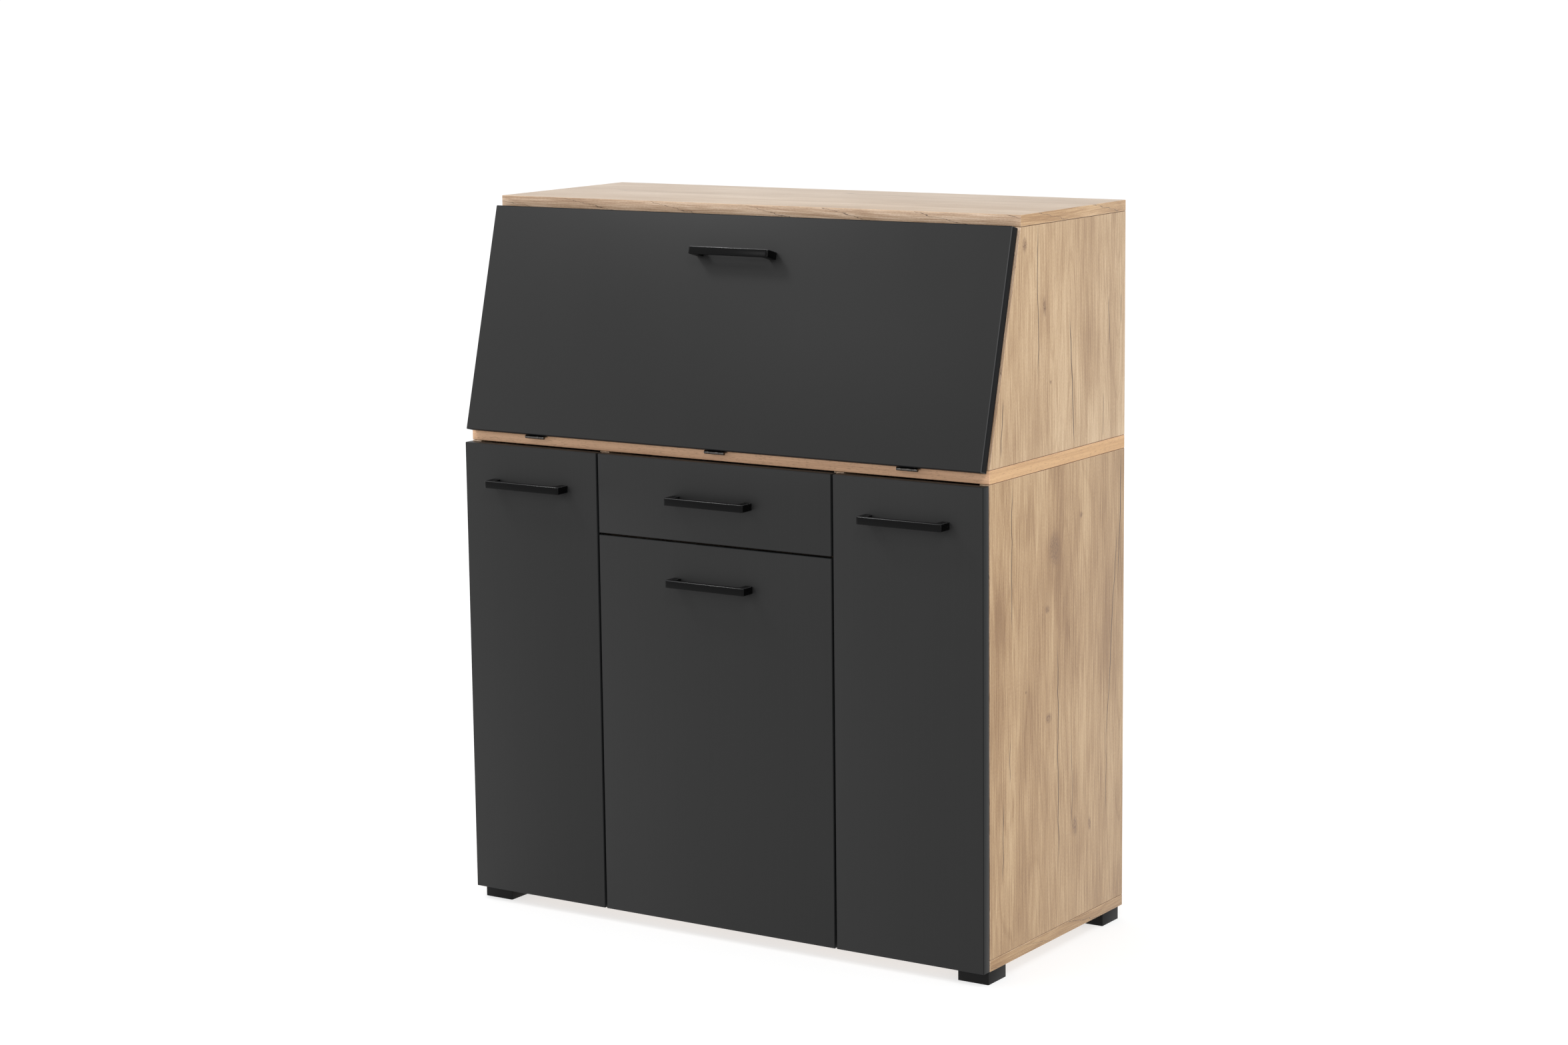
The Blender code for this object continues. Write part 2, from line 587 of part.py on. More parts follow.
def flap_leaf_mesh():
    # around the flap's axis, in the flap's frame: a cup in the flap and the middle knuckle
    face = AXIS_UNDER_FACE - FLUSH
    middle = FLAP_RISE + FLAP_CUP_CENTRE
    wide = KNUCKLE_MIDDLE - KNUCKLE_GAP
    end = KNUCKLE_MIDDLE
    half = LEAF / 2
    rise = FLAP_RISE + STRAP_REACH
    top = face - SEAM
    strap = [(0, -half), (top, -half), (top, rise), (top - LEAF, rise), (top - LEAF, half), (0, half)]
    knuckle = rod_mesh("knuckle", (-end, 0, 0), (end, 0, 0), KNUCKLE)
    low = face - FLAP_CUP_DISH_DEPTH
    dish = rod_mesh("dish", (0, face + OVERCUT, middle), (0, low, middle), FLAP_CUP_DISH)
    hole = rod_mesh("hole", (-end * 2, 0, 0), (end * 2, 0, 0), FLAP_PIN + PIN_PLAY, PIN_ROUND)
    return built_mesh(
        "flap_leaf",
        rod_mesh("cup", (0, face - FLAP_CUP_DEPTH, middle), (0, face, middle), CUP_RADIUS),
        joined=[side_prism_mesh("strap", strap, -wide, wide), knuckle],
        cuts=[dish, hole],
    )


def make_flap():
    low = (-SIDE_X + FLAP_SIDE_GAP, AXIS_UNDER_FACE - FRONT, FLAP_RISE)
    high = (SIDE_X - FLAP_SIDE_GAP, AXIS_UNDER_FACE, FLAP_RISE + FLAP_LENGTH)
    flap = panel("flap_panel", low, high, graphite, flap_axis, FRONT_ARRIS)
    add_handle("flap_handle", 0, AXIS_UNDER_FACE - FRONT, FLAP_RISE + FLAP_LENGTH, flap_axis)
    fixed = fixed_leaf_mesh()
    moving = flap_leaf_mesh()
    for word, x in zip(("left", "centre", "right"), FLAP_HINGES):
        middle = Vector((x, AXIS_UNDER_FACE, FLAP_RISE + FLAP_CUP_CENTRE)) - flap.location
        deep = middle - Vector((0, FLAP_CUP_BORE_DEPTH, 0))
        cut(flap, rod_mesh("bore", deep, middle + Vector((0, OVERCUT, 0)), CUP_BORE))
        low = (x - KNUCKLE_MIDDLE, AXIS_UNDER_FACE - LEAF - FLUSH - FIT, FLAP_RISE - OVERCUT)
        high = (x + KNUCKLE_MIDDLE, AXIS_UNDER_FACE + OVERCUT, FLAP_RISE + STRAP_REACH + FIT)
        cut(flap, block_mesh("notch", Vector(low) - flap.location, Vector(high) - flap.location))
        add(word + "_flap_hinge_fixed_leaf", fixed, nickel, None, (x, FLAP_AXIS_Y, FLAP_AXIS_Z))
        add(word + "_flap_hinge_flap_leaf", moving, nickel, flap_axis, (x, 0, 0))


def flap_point(rise, behind, opening):
    # (y, z) of a point of the flap, given along it and behind its inner face, at an opening angle
    turn = opening - SLOPE
    y = AXIS_UNDER_FACE + behind
    return Vector(
        (
            FLAP_AXIS_Y + y * math.cos(turn) - rise * math.sin(turn),
            FLAP_AXIS_Z + y * math.sin(turn) + rise * math.cos(turn),
        )
    )


def stay_geometry():
    # the rear arm's pivot, the front arm's pivot, and their knee when the flap is shut
    post = Vector((FRONT_Y + STAY_POST_BACK, DESK_Z + STAY_POST_RISE))
    shut = flap_point(STAY_FLAP_RISE, STAY_FLAP_STANDOFF, 0)
    wide = flap_point(STAY_FLAP_RISE, STAY_FLAP_STANDOFF, FLAP_OPEN)
    reach = (wide - post).length
    part = STAY_REAR_ARM * math.cos(STAY_OPEN_BEND)
    front_arm = math.sqrt(part**2 - STAY_REAR_ARM**2 + reach**2) - part
    gap = (shut - post).length
    lift = math.acos((STAY_REAR_ARM**2 + gap**2 - front_arm**2) / (2 * STAY_REAR_ARM * gap))
    base = math.atan2(shut.y - post.y, shut.x - post.x)
    turn = base - lift
    knee = post + STAY_REAR_ARM * Vector((math.cos(turn), math.sin(turn)))
    return post, shut, knee


def bar_outline(length):
    # a flat bar with round ends, from the origin along X
    r = STAY_BAR / 2
    return arc((0, 0), r, 90, 270, 8) + arc((length, 0), r, -90, 90, 8)


def add_stay_arm(name, x, start, end, bosses, parent=None):
    # a bar in the YZ plane; each boss is (distance along it, how far it stands out along X, radius)
    along = end - start
    bar = prism_mesh(name, bar_outline(along.length), STAY_SHEET)
    rods = [rod_mesh("boss", (at, 0, 0), (at, 0, out), radius, SMALL_ROUND) for at, out, radius in bosses]
    mesh = built_mesh(name, bar, joined=rods)
    lean = math.atan2(along.y, along.x)
    # local X lies along the bar, local Z along the world's X
    turn = (Matrix.Rotation(lean, 3, "X") @ Matrix.Rotation(math.pi / 2, 3, "Z")) @ Matrix.Rotation(
        math.pi / 2, 3, "X"
    )
    at = Vector((x, start.x, start.y))
    obj = add(name, mesh, steel)
    obj.matrix_world = Matrix.Translation(at) @ turn.to_4x4()
    if parent:
        obj.parent = parent
        obj.matrix_parent_inverse = parent.matrix_world.inverted()
    return obj


def make_stays():
    post, shut, knee = stay_geometry()
    first = FIT + STAY_LAYER  # the rear arm's middle from the side panel
    for word, side in SIDES:
        x = side * (INNER_X - first)
        stub = STAY_LAYER - STAY_SHEET / 2 - FIT
        bosses = [(0, side * STAY_LAYER, STAY_BOSS), (STAY_REAR_ARM, -side * stub, STAY_PIN)]
        add_stay_arm(word + "_stay_rear_arm", x, post, knee, bosses)
        x -= side * STAY_LAYER
        pin = STAY_LAYER + STAY_BRACKET_SHEET / 2 + FIT
        bosses = [(0, -side * pin, STAY_PIN)]
        add_stay_arm(word + "_stay_front_arm", x, shut, knee, bosses, flap_axis)
        ear = x - side * STAY_LAYER
        outer = ear + side * STAY_BRACKET_SHEET / 2
        inner = ear - side * STAY_BRACKET_SHEET / 2
        toe = ear - side * STAY_BRACKET_WIDTH
        face = AXIS_UNDER_FACE + FIT
        tall = AXIS_UNDER_FACE + STAY_FLAP_STANDOFF + STAY_BAR / 2
        angle = [(outer, face), (outer, tall), (inner, tall), (inner, face + STAY_BRACKET_SHEET)]
        angle += [(toe, face + STAY_BRACKET_SHEET), (toe, face)]
        y = AXIS_UNDER_FACE + STAY_FLAP_STANDOFF
        pin_hole = STAY_PIN + PIN_PLAY
        hole = rod_mesh("hole", (ear - STAY_SHEET, y, 0), (ear + STAY_SHEET, y, 0), pin_hole, SMALL_ROUND)
        ell = prism_mesh("angle", angle, STAY_BRACKET_LENGTH)
        mesh = built_mesh(word + "_stay_bracket", ell, cuts=[hole])
        add(word + "_stay_bracket", mesh, steel, flap_axis, (0, 0, STAY_FLAP_RISE))


clear_scene()
desk = new_collection("secretary_desk", False)
cutters = new_collection("cutters", True)
SIDES = (("left", -1), ("right", 1))
FLAP_HINGES = (-FLAP_HINGE_PITCH, 0, FLAP_HINGE_PITCH)

oak = finish("oak", (0.62, 0.44, 0.29), 0.55)
beech = finish("beech_edge", (0.63, 0.45, 0.31), 0.5)
graphite = finish("graphite", (0.045, 0.045, 0.047), 0.5)
black_metal = finish("black_metal", (0.012, 0.012, 0.012), 0.4, 0.3)
black_plastic = finish("black_plastic", (0.015, 0.015, 0.015), 0.6)
nickel = finish("nickel", (0.62, 0.61, 0.59), 0.28, 1.0)
steel = finish("zinc_steel", (0.55, 0.55, 0.56), 0.4, 1.0)
white_board = finish("white_board", (0.75, 0.75, 0.73), 0.5)
white_plastic = finish("white_plastic", (0.8, 0.8, 0.78), 0.45)
hardboard = finish("hardboard", (0.36, 0.24, 0.15), 0.8)

flap_axis = axis_empty("flap_axis", (0, FLAP_AXIS_Y, FLAP_AXIS_Z), (-SLOPE, 0, 0))
bpy.context.view_layer.update()
handle_shape = handle_mesh()
cup_shape = hinge_cup_mesh()

make_feet()
make_base()
make_shelves()
make_desk_board()
make_writing_compartment()
make_backs()
make_door("left_door", -SIDE_X, -CENTRE_X - COLUMN_GAP, DOOR_TOP, True, PANEL)
make_door("centre_door", -CENTRE_X, CENTRE_X, CENTRE_DOOR_TOP, True, CENTRE_X - BAY_X)
make_door("right_door", CENTRE_X + COLUMN_GAP, SIDE_X, DOOR_TOP, False, PANEL)
make_drawer()
make_flap()
make_stays()
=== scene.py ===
import json
import math

import bmesh
import bpy
from mathutils import Matrix, Vector

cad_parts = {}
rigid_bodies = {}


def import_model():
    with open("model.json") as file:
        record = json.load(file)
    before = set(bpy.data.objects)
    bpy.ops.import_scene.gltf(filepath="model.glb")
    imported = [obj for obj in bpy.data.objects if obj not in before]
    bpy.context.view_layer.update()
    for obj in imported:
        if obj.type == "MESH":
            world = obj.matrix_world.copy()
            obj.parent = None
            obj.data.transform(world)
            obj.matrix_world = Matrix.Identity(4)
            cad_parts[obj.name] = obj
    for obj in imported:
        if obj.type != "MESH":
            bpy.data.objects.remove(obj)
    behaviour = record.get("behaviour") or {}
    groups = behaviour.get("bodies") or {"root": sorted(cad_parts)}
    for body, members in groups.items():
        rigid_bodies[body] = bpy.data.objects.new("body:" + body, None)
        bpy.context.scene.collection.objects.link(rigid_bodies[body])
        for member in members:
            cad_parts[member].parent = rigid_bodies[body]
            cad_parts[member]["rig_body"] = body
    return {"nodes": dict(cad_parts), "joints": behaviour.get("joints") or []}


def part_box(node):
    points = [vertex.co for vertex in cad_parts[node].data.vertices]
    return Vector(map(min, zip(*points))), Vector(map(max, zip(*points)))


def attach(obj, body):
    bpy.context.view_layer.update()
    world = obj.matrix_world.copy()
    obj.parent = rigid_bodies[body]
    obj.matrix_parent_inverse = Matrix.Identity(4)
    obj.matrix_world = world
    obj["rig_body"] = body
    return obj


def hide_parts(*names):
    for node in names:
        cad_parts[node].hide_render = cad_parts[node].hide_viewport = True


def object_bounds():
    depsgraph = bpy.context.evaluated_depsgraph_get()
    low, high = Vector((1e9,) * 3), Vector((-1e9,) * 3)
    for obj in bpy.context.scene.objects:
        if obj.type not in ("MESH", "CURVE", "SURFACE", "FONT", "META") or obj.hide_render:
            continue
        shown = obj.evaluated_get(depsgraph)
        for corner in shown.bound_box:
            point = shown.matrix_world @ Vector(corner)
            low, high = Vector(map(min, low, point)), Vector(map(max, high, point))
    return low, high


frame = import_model()
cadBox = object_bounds()
scene = bpy.context.scene
nodes = frame["nodes"]
print("frame loaded:", len(nodes), "solids")

jointList = {joint["name"]: joint for joint in frame["joints"]}
topLow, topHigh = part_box("top_panel")
deskLow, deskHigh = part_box("desk_board")
lean = (topLow.y - deskLow.y) / (topLow.z - deskHigh.z)  # slope of the writing compartment's sides
slope = math.atan(lean)
flapSpace = Matrix.Translation(jointList["flap_hinge"]["pos_m"]) @ Matrix.Rotation(-slope, 4, "X")


# Camera, light and floor

view = {
    "place": (2.7414, -4.1752, 1.4475), "turn": 33.34, "drop": 9.67, "roll": -0.67,
    "lens": 78.04, "sensor": 36, "reach": 200,
}
sky = {"brightness": 1.04, "colour": (1, 1, 1, 1)}
lamps = {
    "keyLamp": {"place": (2.2, -2.6, 3.4), "size": 0.7, "power": 34},
    "topLamp": {"place": (-2.0, -1.3, 3.5), "size": 0.7, "power": 34},  # lights the handles' top
    "frontLamp": {"place": (-1.3, -3.4, 2.2), "size": 0.8, "power": 8},
    "sideLamp": {"place": (3.4, -1.2, 1.3), "size": 0.15, "height": 1.4, "power": 11},
}
lampTarget = (0, 0, 0.6)
floorLook = {
    "size": 60, "colour": (0.35, 0.35, 0.35, 1), "roughness": 0.9, "gloss": 0.1,
    "glow": 0.67,  # a higher glow thins the shadow
}


def setCamera():
    lens = bpy.data.cameras.new("camera")
    lens.sensor_width = view["sensor"]
    lens.lens = view["lens"]
    lens.clip_end = view["reach"]
    camera = bpy.data.objects.new("camera", lens)
    scene.collection.objects.link(camera)
    turn = Matrix.Rotation(math.radians(view["turn"]), 4, "Z")
    tip = Matrix.Rotation(math.radians(90 - view["drop"]), 4, "X")
    roll = Matrix.Rotation(math.radians(view["roll"]), 4, "Z")
    camera.matrix_world = Matrix.Translation(view["place"]) @ turn @ tip @ roll
    scene.camera = camera


def setLight():
    world = bpy.data.worlds.new("studio")
    scene.world = world
    world.use_nodes = True
    background = world.node_tree.nodes["Background"]
    background.inputs["Color"].default_value = sky["colour"]
    background.inputs["Strength"].default_value = sky["brightness"]
    for name, look in lamps.items():
        lamp = bpy.data.lights.new(name, "AREA")
        lamp.shape = "RECTANGLE"
        lamp.size = look["size"]
        lamp.size_y = look.get("height", look["size"])
        lamp.energy = look["power"]
        holder = bpy.data.objects.new(name, lamp)
        scene.collection.objects.link(holder)
        holder.location = look["place"]
        aim = Vector(lampTarget) - holder.location
        holder.rotation_euler = aim.to_track_quat("-Z", "Y").to_euler()
    scene.view_settings.view_transform = "Standard"


# Small helpers for materials; patterns are in metres

def startFinish(name):
    material = bpy.data.materials.new(name)
    material.use_nodes = True
    tree = material.node_tree
    return material, tree, tree.nodes["Principled BSDF"]


def put(tree, kind, inputs=None, **settings):
    made = tree.nodes.new("ShaderNode" + kind)
    for key, value in settings.items():
        setattr(made, key, value)
    for key, value in (inputs or {}).items():
        if isinstance(value, bpy.types.NodeSocket):
            tree.links.new(value, made.inputs[key])
        else:
            made.inputs[key].default_value = value
    return made


def sums(tree, operation, first, second=0.0, third=0.0):
    return put(tree, "Math", {0: first, 1: second, 2: third}, operation=operation).outputs[0]


def weigh(tree, value, weight):
    # swings round zero by the given weight
    return sums(tree, "MULTIPLY_ADD", value, weight, -weight / 2)


def addUp(tree, values):
    total = values[0]
    for value in values[1:]:
        total = sums(tree, "ADD", total, value)
    return total


def highest(tree, values):
    total = values[0]
    for value in values[1:]:
        total = sums(tree, "MAXIMUM", total, value)
    return total


def noiseAt(tree, place, along, across, detail=2.0, rough=0.5, seed=0.0):
    # along and across are cells per metre; the third axis has 3
    settings = {"Vector": place, "Location": (seed, seed, 0), "Scale": (along, across, 3)}
    stretched = put(tree, "Mapping", settings)
    values = {"Vector": stretched.outputs[0], "Scale": 1.0, "Detail": detail, "Roughness": rough}
    return put(tree, "TexNoise", values).outputs[0]


def stepBetween(tree, value, low, high, first=0.0, last=1.0):
    # goes smoothly from first to last as value goes from low to high
    values = {"Value": value, "From Min": low, "From Max": high, "To Min": first, "To Max": last}
    return put(tree, "MapRange", values, interpolation_type="SMOOTHSTEP").outputs[0]


def rampOf(tree, value, stops):
    made = put(tree, "ValToRGB", {"Fac": value})
    steps = made.color_ramp.elements
    while len(steps) < len(stops):
        steps.new(0.5)
    for step, (at, colour) in zip(steps, stops):
        step.position = at
        step.color = (*colour, 1)
    return made.outputs[0]


def blendColours(tree, share, first, second):
    made = put(tree, "Mix", {0: share, 6: first, 7: second}, data_type="RGBA")
    return made.outputs[2]


def shiftAcross(tree, place, amount):
    offset = put(tree, "CombineXYZ", {1: amount}).outputs[0]
    return put(tree, "VectorMath", {0: place, 1: offset}, operation="ADD").outputs[0]


def bumpFrom(tree, shader, height, distance, strength=1.0):
    made = put(tree, "Bump", {"Height": height, "Strength": strength, "Distance": distance})
    tree.links.new(made.outputs[0], shader.inputs["Normal"])


def feed(tree, shader, socket, value):
    tree.links.new(value, shader.inputs[socket])


def roughen(tree, shader, value, roughness, swing):
    feed(tree, shader, "Roughness", sums(tree, "MULTIPLY_ADD", value, swing, roughness - swing / 2))


def toned(colour, *tint):
    # one share for the whole colour, or one for each of its parts
    shares = tint * 3 if len(tint) == 1 else tint
    return tuple(min(part * share, 1.0) for part, share in zip(colour, shares))


def objectPlace(tree):
    return put(tree, "TexCoord").outputs["Object"]


def grainPlace(tree):
    return put(tree, "Attribute", attribute_name="grain").outputs["Vector"]


# Oak: a printed oak decor with fine streaks, slow bands, hairline cracks and knots

oak = {
    "dark": (0.330, 0.203, 0.115),
    "brown": (0.440, 0.293, 0.178),
    "tan": (0.520, 0.362, 0.231),
    "light": (0.605, 0.440, 0.296),
    "pale": (0.700, 0.535, 0.380),
    "crack": (0.058, 0.036, 0.023),
    "knot": (0.190, 0.108, 0.058),
    # where each colour stands on the tone
    "stops": [(0.12, "dark"), (0.36, "brown"), (0.52, "tan"), (0.68, "light"), (0.9, "pale")],
    # Every finish here is the same oak. Each tint sets how bright one kind of face reads under the light, so
    # the tints paint light and shade. The band and end tints are partly the edge band's own colour and partly
    # painted light.
    "tints": {
        "oakDecor": (0.84, 0.80, 0.74),
        # painted shade: the lower right side is darkened against the upper one
        "oakLowerSideShaded": (0.750, 0.694, 0.570),
        # painted light: the upper right side is lightened, brighter with height
        "oakUpperSideLit": (0.895, 0.876, 0.786),
        # painted sheen: the top is paled as though lit at a grazing angle
        "oakTopSheen": (0.845, 0.927, 1.05),
        "oakBand": (0.925, 0.935, 0.995),
        "oakEnd": (0.845, 0.755, 0.60),
        # painted shade: the bottom panel's ends, near the floor, are darkened
        "oakLowEndShaded": (0.685, 0.605, 0.468),
        # painted highlight: the rounded arrises are lightened
        "oakArrisHighlight": (1.0, 0.985, 0.96),
    },
    # each layer of the figure: how much it swings the tone, then cells per metre along and across
    "layers": [
        (1.15, 18, 880),
        (0.95, 8, 330),
        (0.50, 1.2, 34),
        (1.05, 3.5, 15),
        (0.60, 280, 1000),
    ],
    "layerDetail": 2,
    "layerRoughness": 0.62,
    "layerSeed": 2.7,
    # the other patterns: cells per metre along and across, detail, roughness, seed
    "patterns": {
        "bend": (1.4, 7, 2, 0.5, 0.0),
        "rings": (0.55, 6.5, 1, 0.4, 12.9),
        "pores": (45, 1300, 1, 0.5, 21.0),
        "threads": (1.1, 13, 2, 0.45, 30.0),
        "patches": (3.0, 30, 2, 0.5, 40.0),
        "wander": (35, 160, 3, 0.6, 50.0),
        "sway": (14, 3, 2, 0.6, 60.0),
        "speckle": (260, 420, 2, 0.7, 70.0),
    },
    # where each pattern's lines or spots begin and end
    "steps": {
        "rings": (0.0, 0.0035),
        "pores": (0.57, 0.67),
        "threads": (0.001, 0.0035),
        "patches": (0.56, 0.66),
        "bandCracks": (0.0004, 0.0026),
        "speckle": (0.42, 0.62),
        "knots": (0.3, 1.0),  # shares of a knot's half size
        "crackEnds": (0.3, 0.5),  # shares of a crack's length
        "crackSides": (0.5175, 1.15),  # shares of a crack's width
    },
    "calm": {"oakTopSheen": 0.55, "oakUpperSideLit": 0.82},  # a finish with a quieter figure
    "bend": 0.030,  # how far the figure strays sideways
    "ringGap": 0.018,
    "ringDepth": 0.12,
    "pores": 0.34,
    "threads": 0.8,
    "shade": 0.14,
    "knots": (0.60, 0.40),  # how dark a knot is: on its speckles, and all over
    "sway": 0.010,  # how far the drawn marks stray sideways
    "bandWander": 0.05,
    "bandSlant": 6.0,
    "bandGap": 0.078,
    "bandDepth": 0.8,
    "roughness": 0.43,
    "roughSwing": 0.16,
    "heights": {"fine": 0.6, "pores": -0.5, "cracks": -0.8},
    "bump": (0.00012, 0.6),
}

# Marks on the two right-hand sides, in metres. A crack has its depth, height, length, width and lean.
# A knot or a shade has its depth, height, half width and half height.
lowerMarks = {
    "cracks": [
        (-0.117, 0.600, 0.23, 0.0009, 0.0),
        (0.204, 0.615, 0.20, 0.0009, -0.05),
        (0.180, 0.440, 0.36, 0.0008, -0.10),
        (0.018, 0.290, 0.37, 0.0010, 0.01),
        (-0.122, 0.310, 0.07, 0.0006, 0.0),
        (-0.141, 0.200, 0.13, 0.0008, -0.03),
        (0.165, 0.230, 0.11, 0.0006, -0.02),
        (0.060, 0.240, 0.16, 0.0005, 0.01),
    ],
    "knots": [
        (-0.011, 0.352, 0.012, 0.010),
        (0.007, 0.595, 0.022, 0.034),
        (-0.015, 0.511, 0.009, 0.008),
        (0.114, 0.169, 0.006, 0.014),
        (0.069, 0.176, 0.010, 0.020),
        (0.085, 0.633, 0.006, 0.006),
        (-0.075, 0.402, 0.003, 0.003),
    ],
    "shades": [
        (-0.087, 0.352, 0.038, 0.120),
        (0.007, 0.575, 0.045, 0.070),
        (-0.154, 0.520, 0.024, 0.060),
        (-0.080, 0.640, 0.036, 0.045),
        (0.180, 0.440, 0.034, 0.170),
        (-0.140, 0.250, 0.042, 0.045),
    ],
}
upperMarks = {
    "cracks": [
        (-0.043, 0.950, 0.24, 0.0009, 0.01),
        (0.057, 0.830, 0.20, 0.0011, 0.09),
        (0.168, 0.905, 0.08, 0.0008, 0.04),
        (-0.145, 0.785, 0.09, 0.0009, -0.06),
        (0.153, 0.770, 0.07, 0.0005, 0.0),
        (0.205, 0.920, 0.05, 0.0006, 0.0),
    ],
    "knots": [
        (-0.024, 0.944, 0.007, 0.018),
        (-0.007, 0.835, 0.004, 0.004),
        (-0.081, 1.034, 0.008, 0.014),
    ],
    "shades": [
        (-0.024, 0.930, 0.030, 0.060),
        (0.110, 0.860, 0.036, 0.090),
    ],
}


def drawCracks(tree, across, along, marks):
    # each crack is a thin line near one depth, fading out at its ends
    found = []
    for middle, height, length, width, leaning in marks:
        line = sums(tree, "MULTIPLY_ADD", along, leaning, -middle - height * leaning)
        off = sums(tree, "ABSOLUTE", sums(tree, "ADD", across, line))
        fromEnd = sums(tree, "ABSOLUTE", sums(tree, "SUBTRACT", along, height))
        ends = stepBetween(tree, fromEnd, *[share * length for share in oak["steps"]["crackEnds"]], 1, 0)
        sides = stepBetween(tree, off, *[share * width for share in oak["steps"]["crackSides"]], 1, 0)
        found.append(sums(tree, "MULTIPLY", sides, ends))
    return highest(tree, found)


def drawKnots(tree, across, along, marks):
    # each knot or shade is a soft oval
    found = []
    for middle, height, wide, tall in marks:
        side = sums(tree, "DIVIDE", sums(tree, "SUBTRACT", across, middle), wide)
        rise = sums(tree, "DIVIDE", sums(tree, "SUBTRACT", along, height), tall)
        reach = sums(tree, "SQRT", sums(tree, "MULTIPLY_ADD", side, side, sums(tree, "MULTIPLY", rise, rise)))
        found.append(stepBetween(tree, reach, *oak["steps"]["knots"], 1, 0))
    return highest(tree, found)


def makeOak(name, marks=None, band=False):
    material, tree, shader = startFinish(name)
    calm = oak["calm"].get(name, 1.0)
    steps = oak["steps"]
    flatPlace = grainPlace(tree)

    def pattern(key, at):
        return noiseAt(tree, at, *oak["patterns"][key])

    place = shiftAcross(tree, flatPlace, weigh(tree, pattern("bend", flatPlace), oak["bend"]))
    layers = []
    for count, (weight, along, across) in enumerate(oak["layers"]):
        seed = oak["layerSeed"] * count
        layers.append(noiseAt(tree, place, along, across, oak["layerDetail"], oak["layerRoughness"], seed))
    fine = layers[0]
    swings = [weigh(tree, layer, look[0] * calm) for layer, look in zip(layers, oak["layers"])]
    tone = addUp(tree, swings + [0.5])
    ringWave = sums(tree, "PINGPONG", pattern("rings", place), oak["ringGap"])
    ringLine = stepBetween(tree, ringWave, *steps["rings"], 1, 0)
    tone = sums(tree, "MULTIPLY_ADD", ringLine, -oak["ringDepth"] * calm, tone)
    if marks:
        # drawn marks stand at fixed places on the panel
        spot = put(tree, "SeparateXYZ", {0: objectPlace(tree)}).outputs
        sway = weigh(tree, pattern("sway", grainPlace(tree)), oak["sway"])
        depth = sums(tree, "ADD", spot[1], sway)
        shades = drawKnots(tree, depth, spot[2], marks["shades"])
        tone = sums(tree, "MULTIPLY_ADD", shades, -oak["shade"], tone)
    colour = rampOf(tree, tone, [(at, toned(oak[key], *oak["tints"][name])) for at, key in oak["stops"]])
    pores = stepBetween(tree, pattern("pores", place), *steps["pores"])
    colour = blendColours(tree, sums(tree, "MULTIPLY", pores, oak["pores"]), colour, (*oak["dark"], 1))
    field = sums(tree, "SUBTRACT", pattern("threads", place), 0.5)
    thread = stepBetween(tree, sums(tree, "ABSOLUTE", field), *steps["threads"], 1, 0)
    patch = stepBetween(tree, pattern("patches", place), *steps["patches"])
    patch = sums(tree, "MULTIPLY", patch, 0.0 if marks else oak["threads"])
    cracks = sums(tree, "MULTIPLY", thread, patch)
    if band:
        # the printed edge band carries long slanting cracks
        axes = put(tree, "SeparateXYZ", {0: place}).outputs
        wander = weigh(tree, pattern("wander", grainPlace(tree)), oak["bandWander"])
        travel = addUp(tree, [axes[0], sums(tree, "MULTIPLY", axes[1], oak["bandSlant"]), wander])
        wave = sums(tree, "PINGPONG", travel, oak["bandGap"])
        slanting = stepBetween(tree, wave, *steps["bandCracks"], oak["bandDepth"], 0)
        cracks = sums(tree, "MAXIMUM", cracks, slanting)
    if marks:
        cracks = sums(tree, "MAXIMUM", cracks, drawCracks(tree, depth, spot[2], marks["cracks"]))
        knots = drawKnots(tree, depth, spot[2], marks["knots"])
        speckle = stepBetween(tree, pattern("speckle", grainPlace(tree)), *steps["speckle"])
        shade = sums(tree, "MULTIPLY", knots, sums(tree, "MULTIPLY_ADD", speckle, *oak["knots"]))
        colour = blendColours(tree, shade, colour, (*oak["knot"], 1))
    colour = blendColours(tree, cracks, colour, (*oak["crack"], 1))
    feed(tree, shader, "Base Color", colour)
    roughen(tree, shader, fine, oak["roughness"], oak["roughSwing"])
    heights = oak["heights"]
    height = addUp(tree, [
        weigh(tree, fine, heights["fine"]), sums(tree, "MULTIPLY", pores, heights["pores"]),
        sums(tree, "MULTIPLY", cracks, heights["cracks"]),
    ])
    bumpFrom(tree, shader, height, *oak["bump"])
    return material


# The other finishes

patterns = {
    # cells per metre along and across, detail, roughness, seed
    "beechFine": (8, 700, 2, 0.6, 0.0),
    "beechWide": (2.5, 90, 2, 0.5, 4.0),
    "beechPores": (150, 1500, 1, 0.5, 9.0),
    "graphiteCloud": (14, 14, 2, 0.5, 0.0),
    "graphiteSpeck": (1300, 1300, 1, 0.5, 2.0),
    "graphiteSkin": (2200, 2200, 1, 0.5, 7.0),
    "metalMottle": (160, 160, 3, 0.6, 0.0),
    "metalScratch": (60, 2600, 2, 0.6, 3.0),
    "plainCloud": (30, 30, 2, 0.5, 5.0),
}
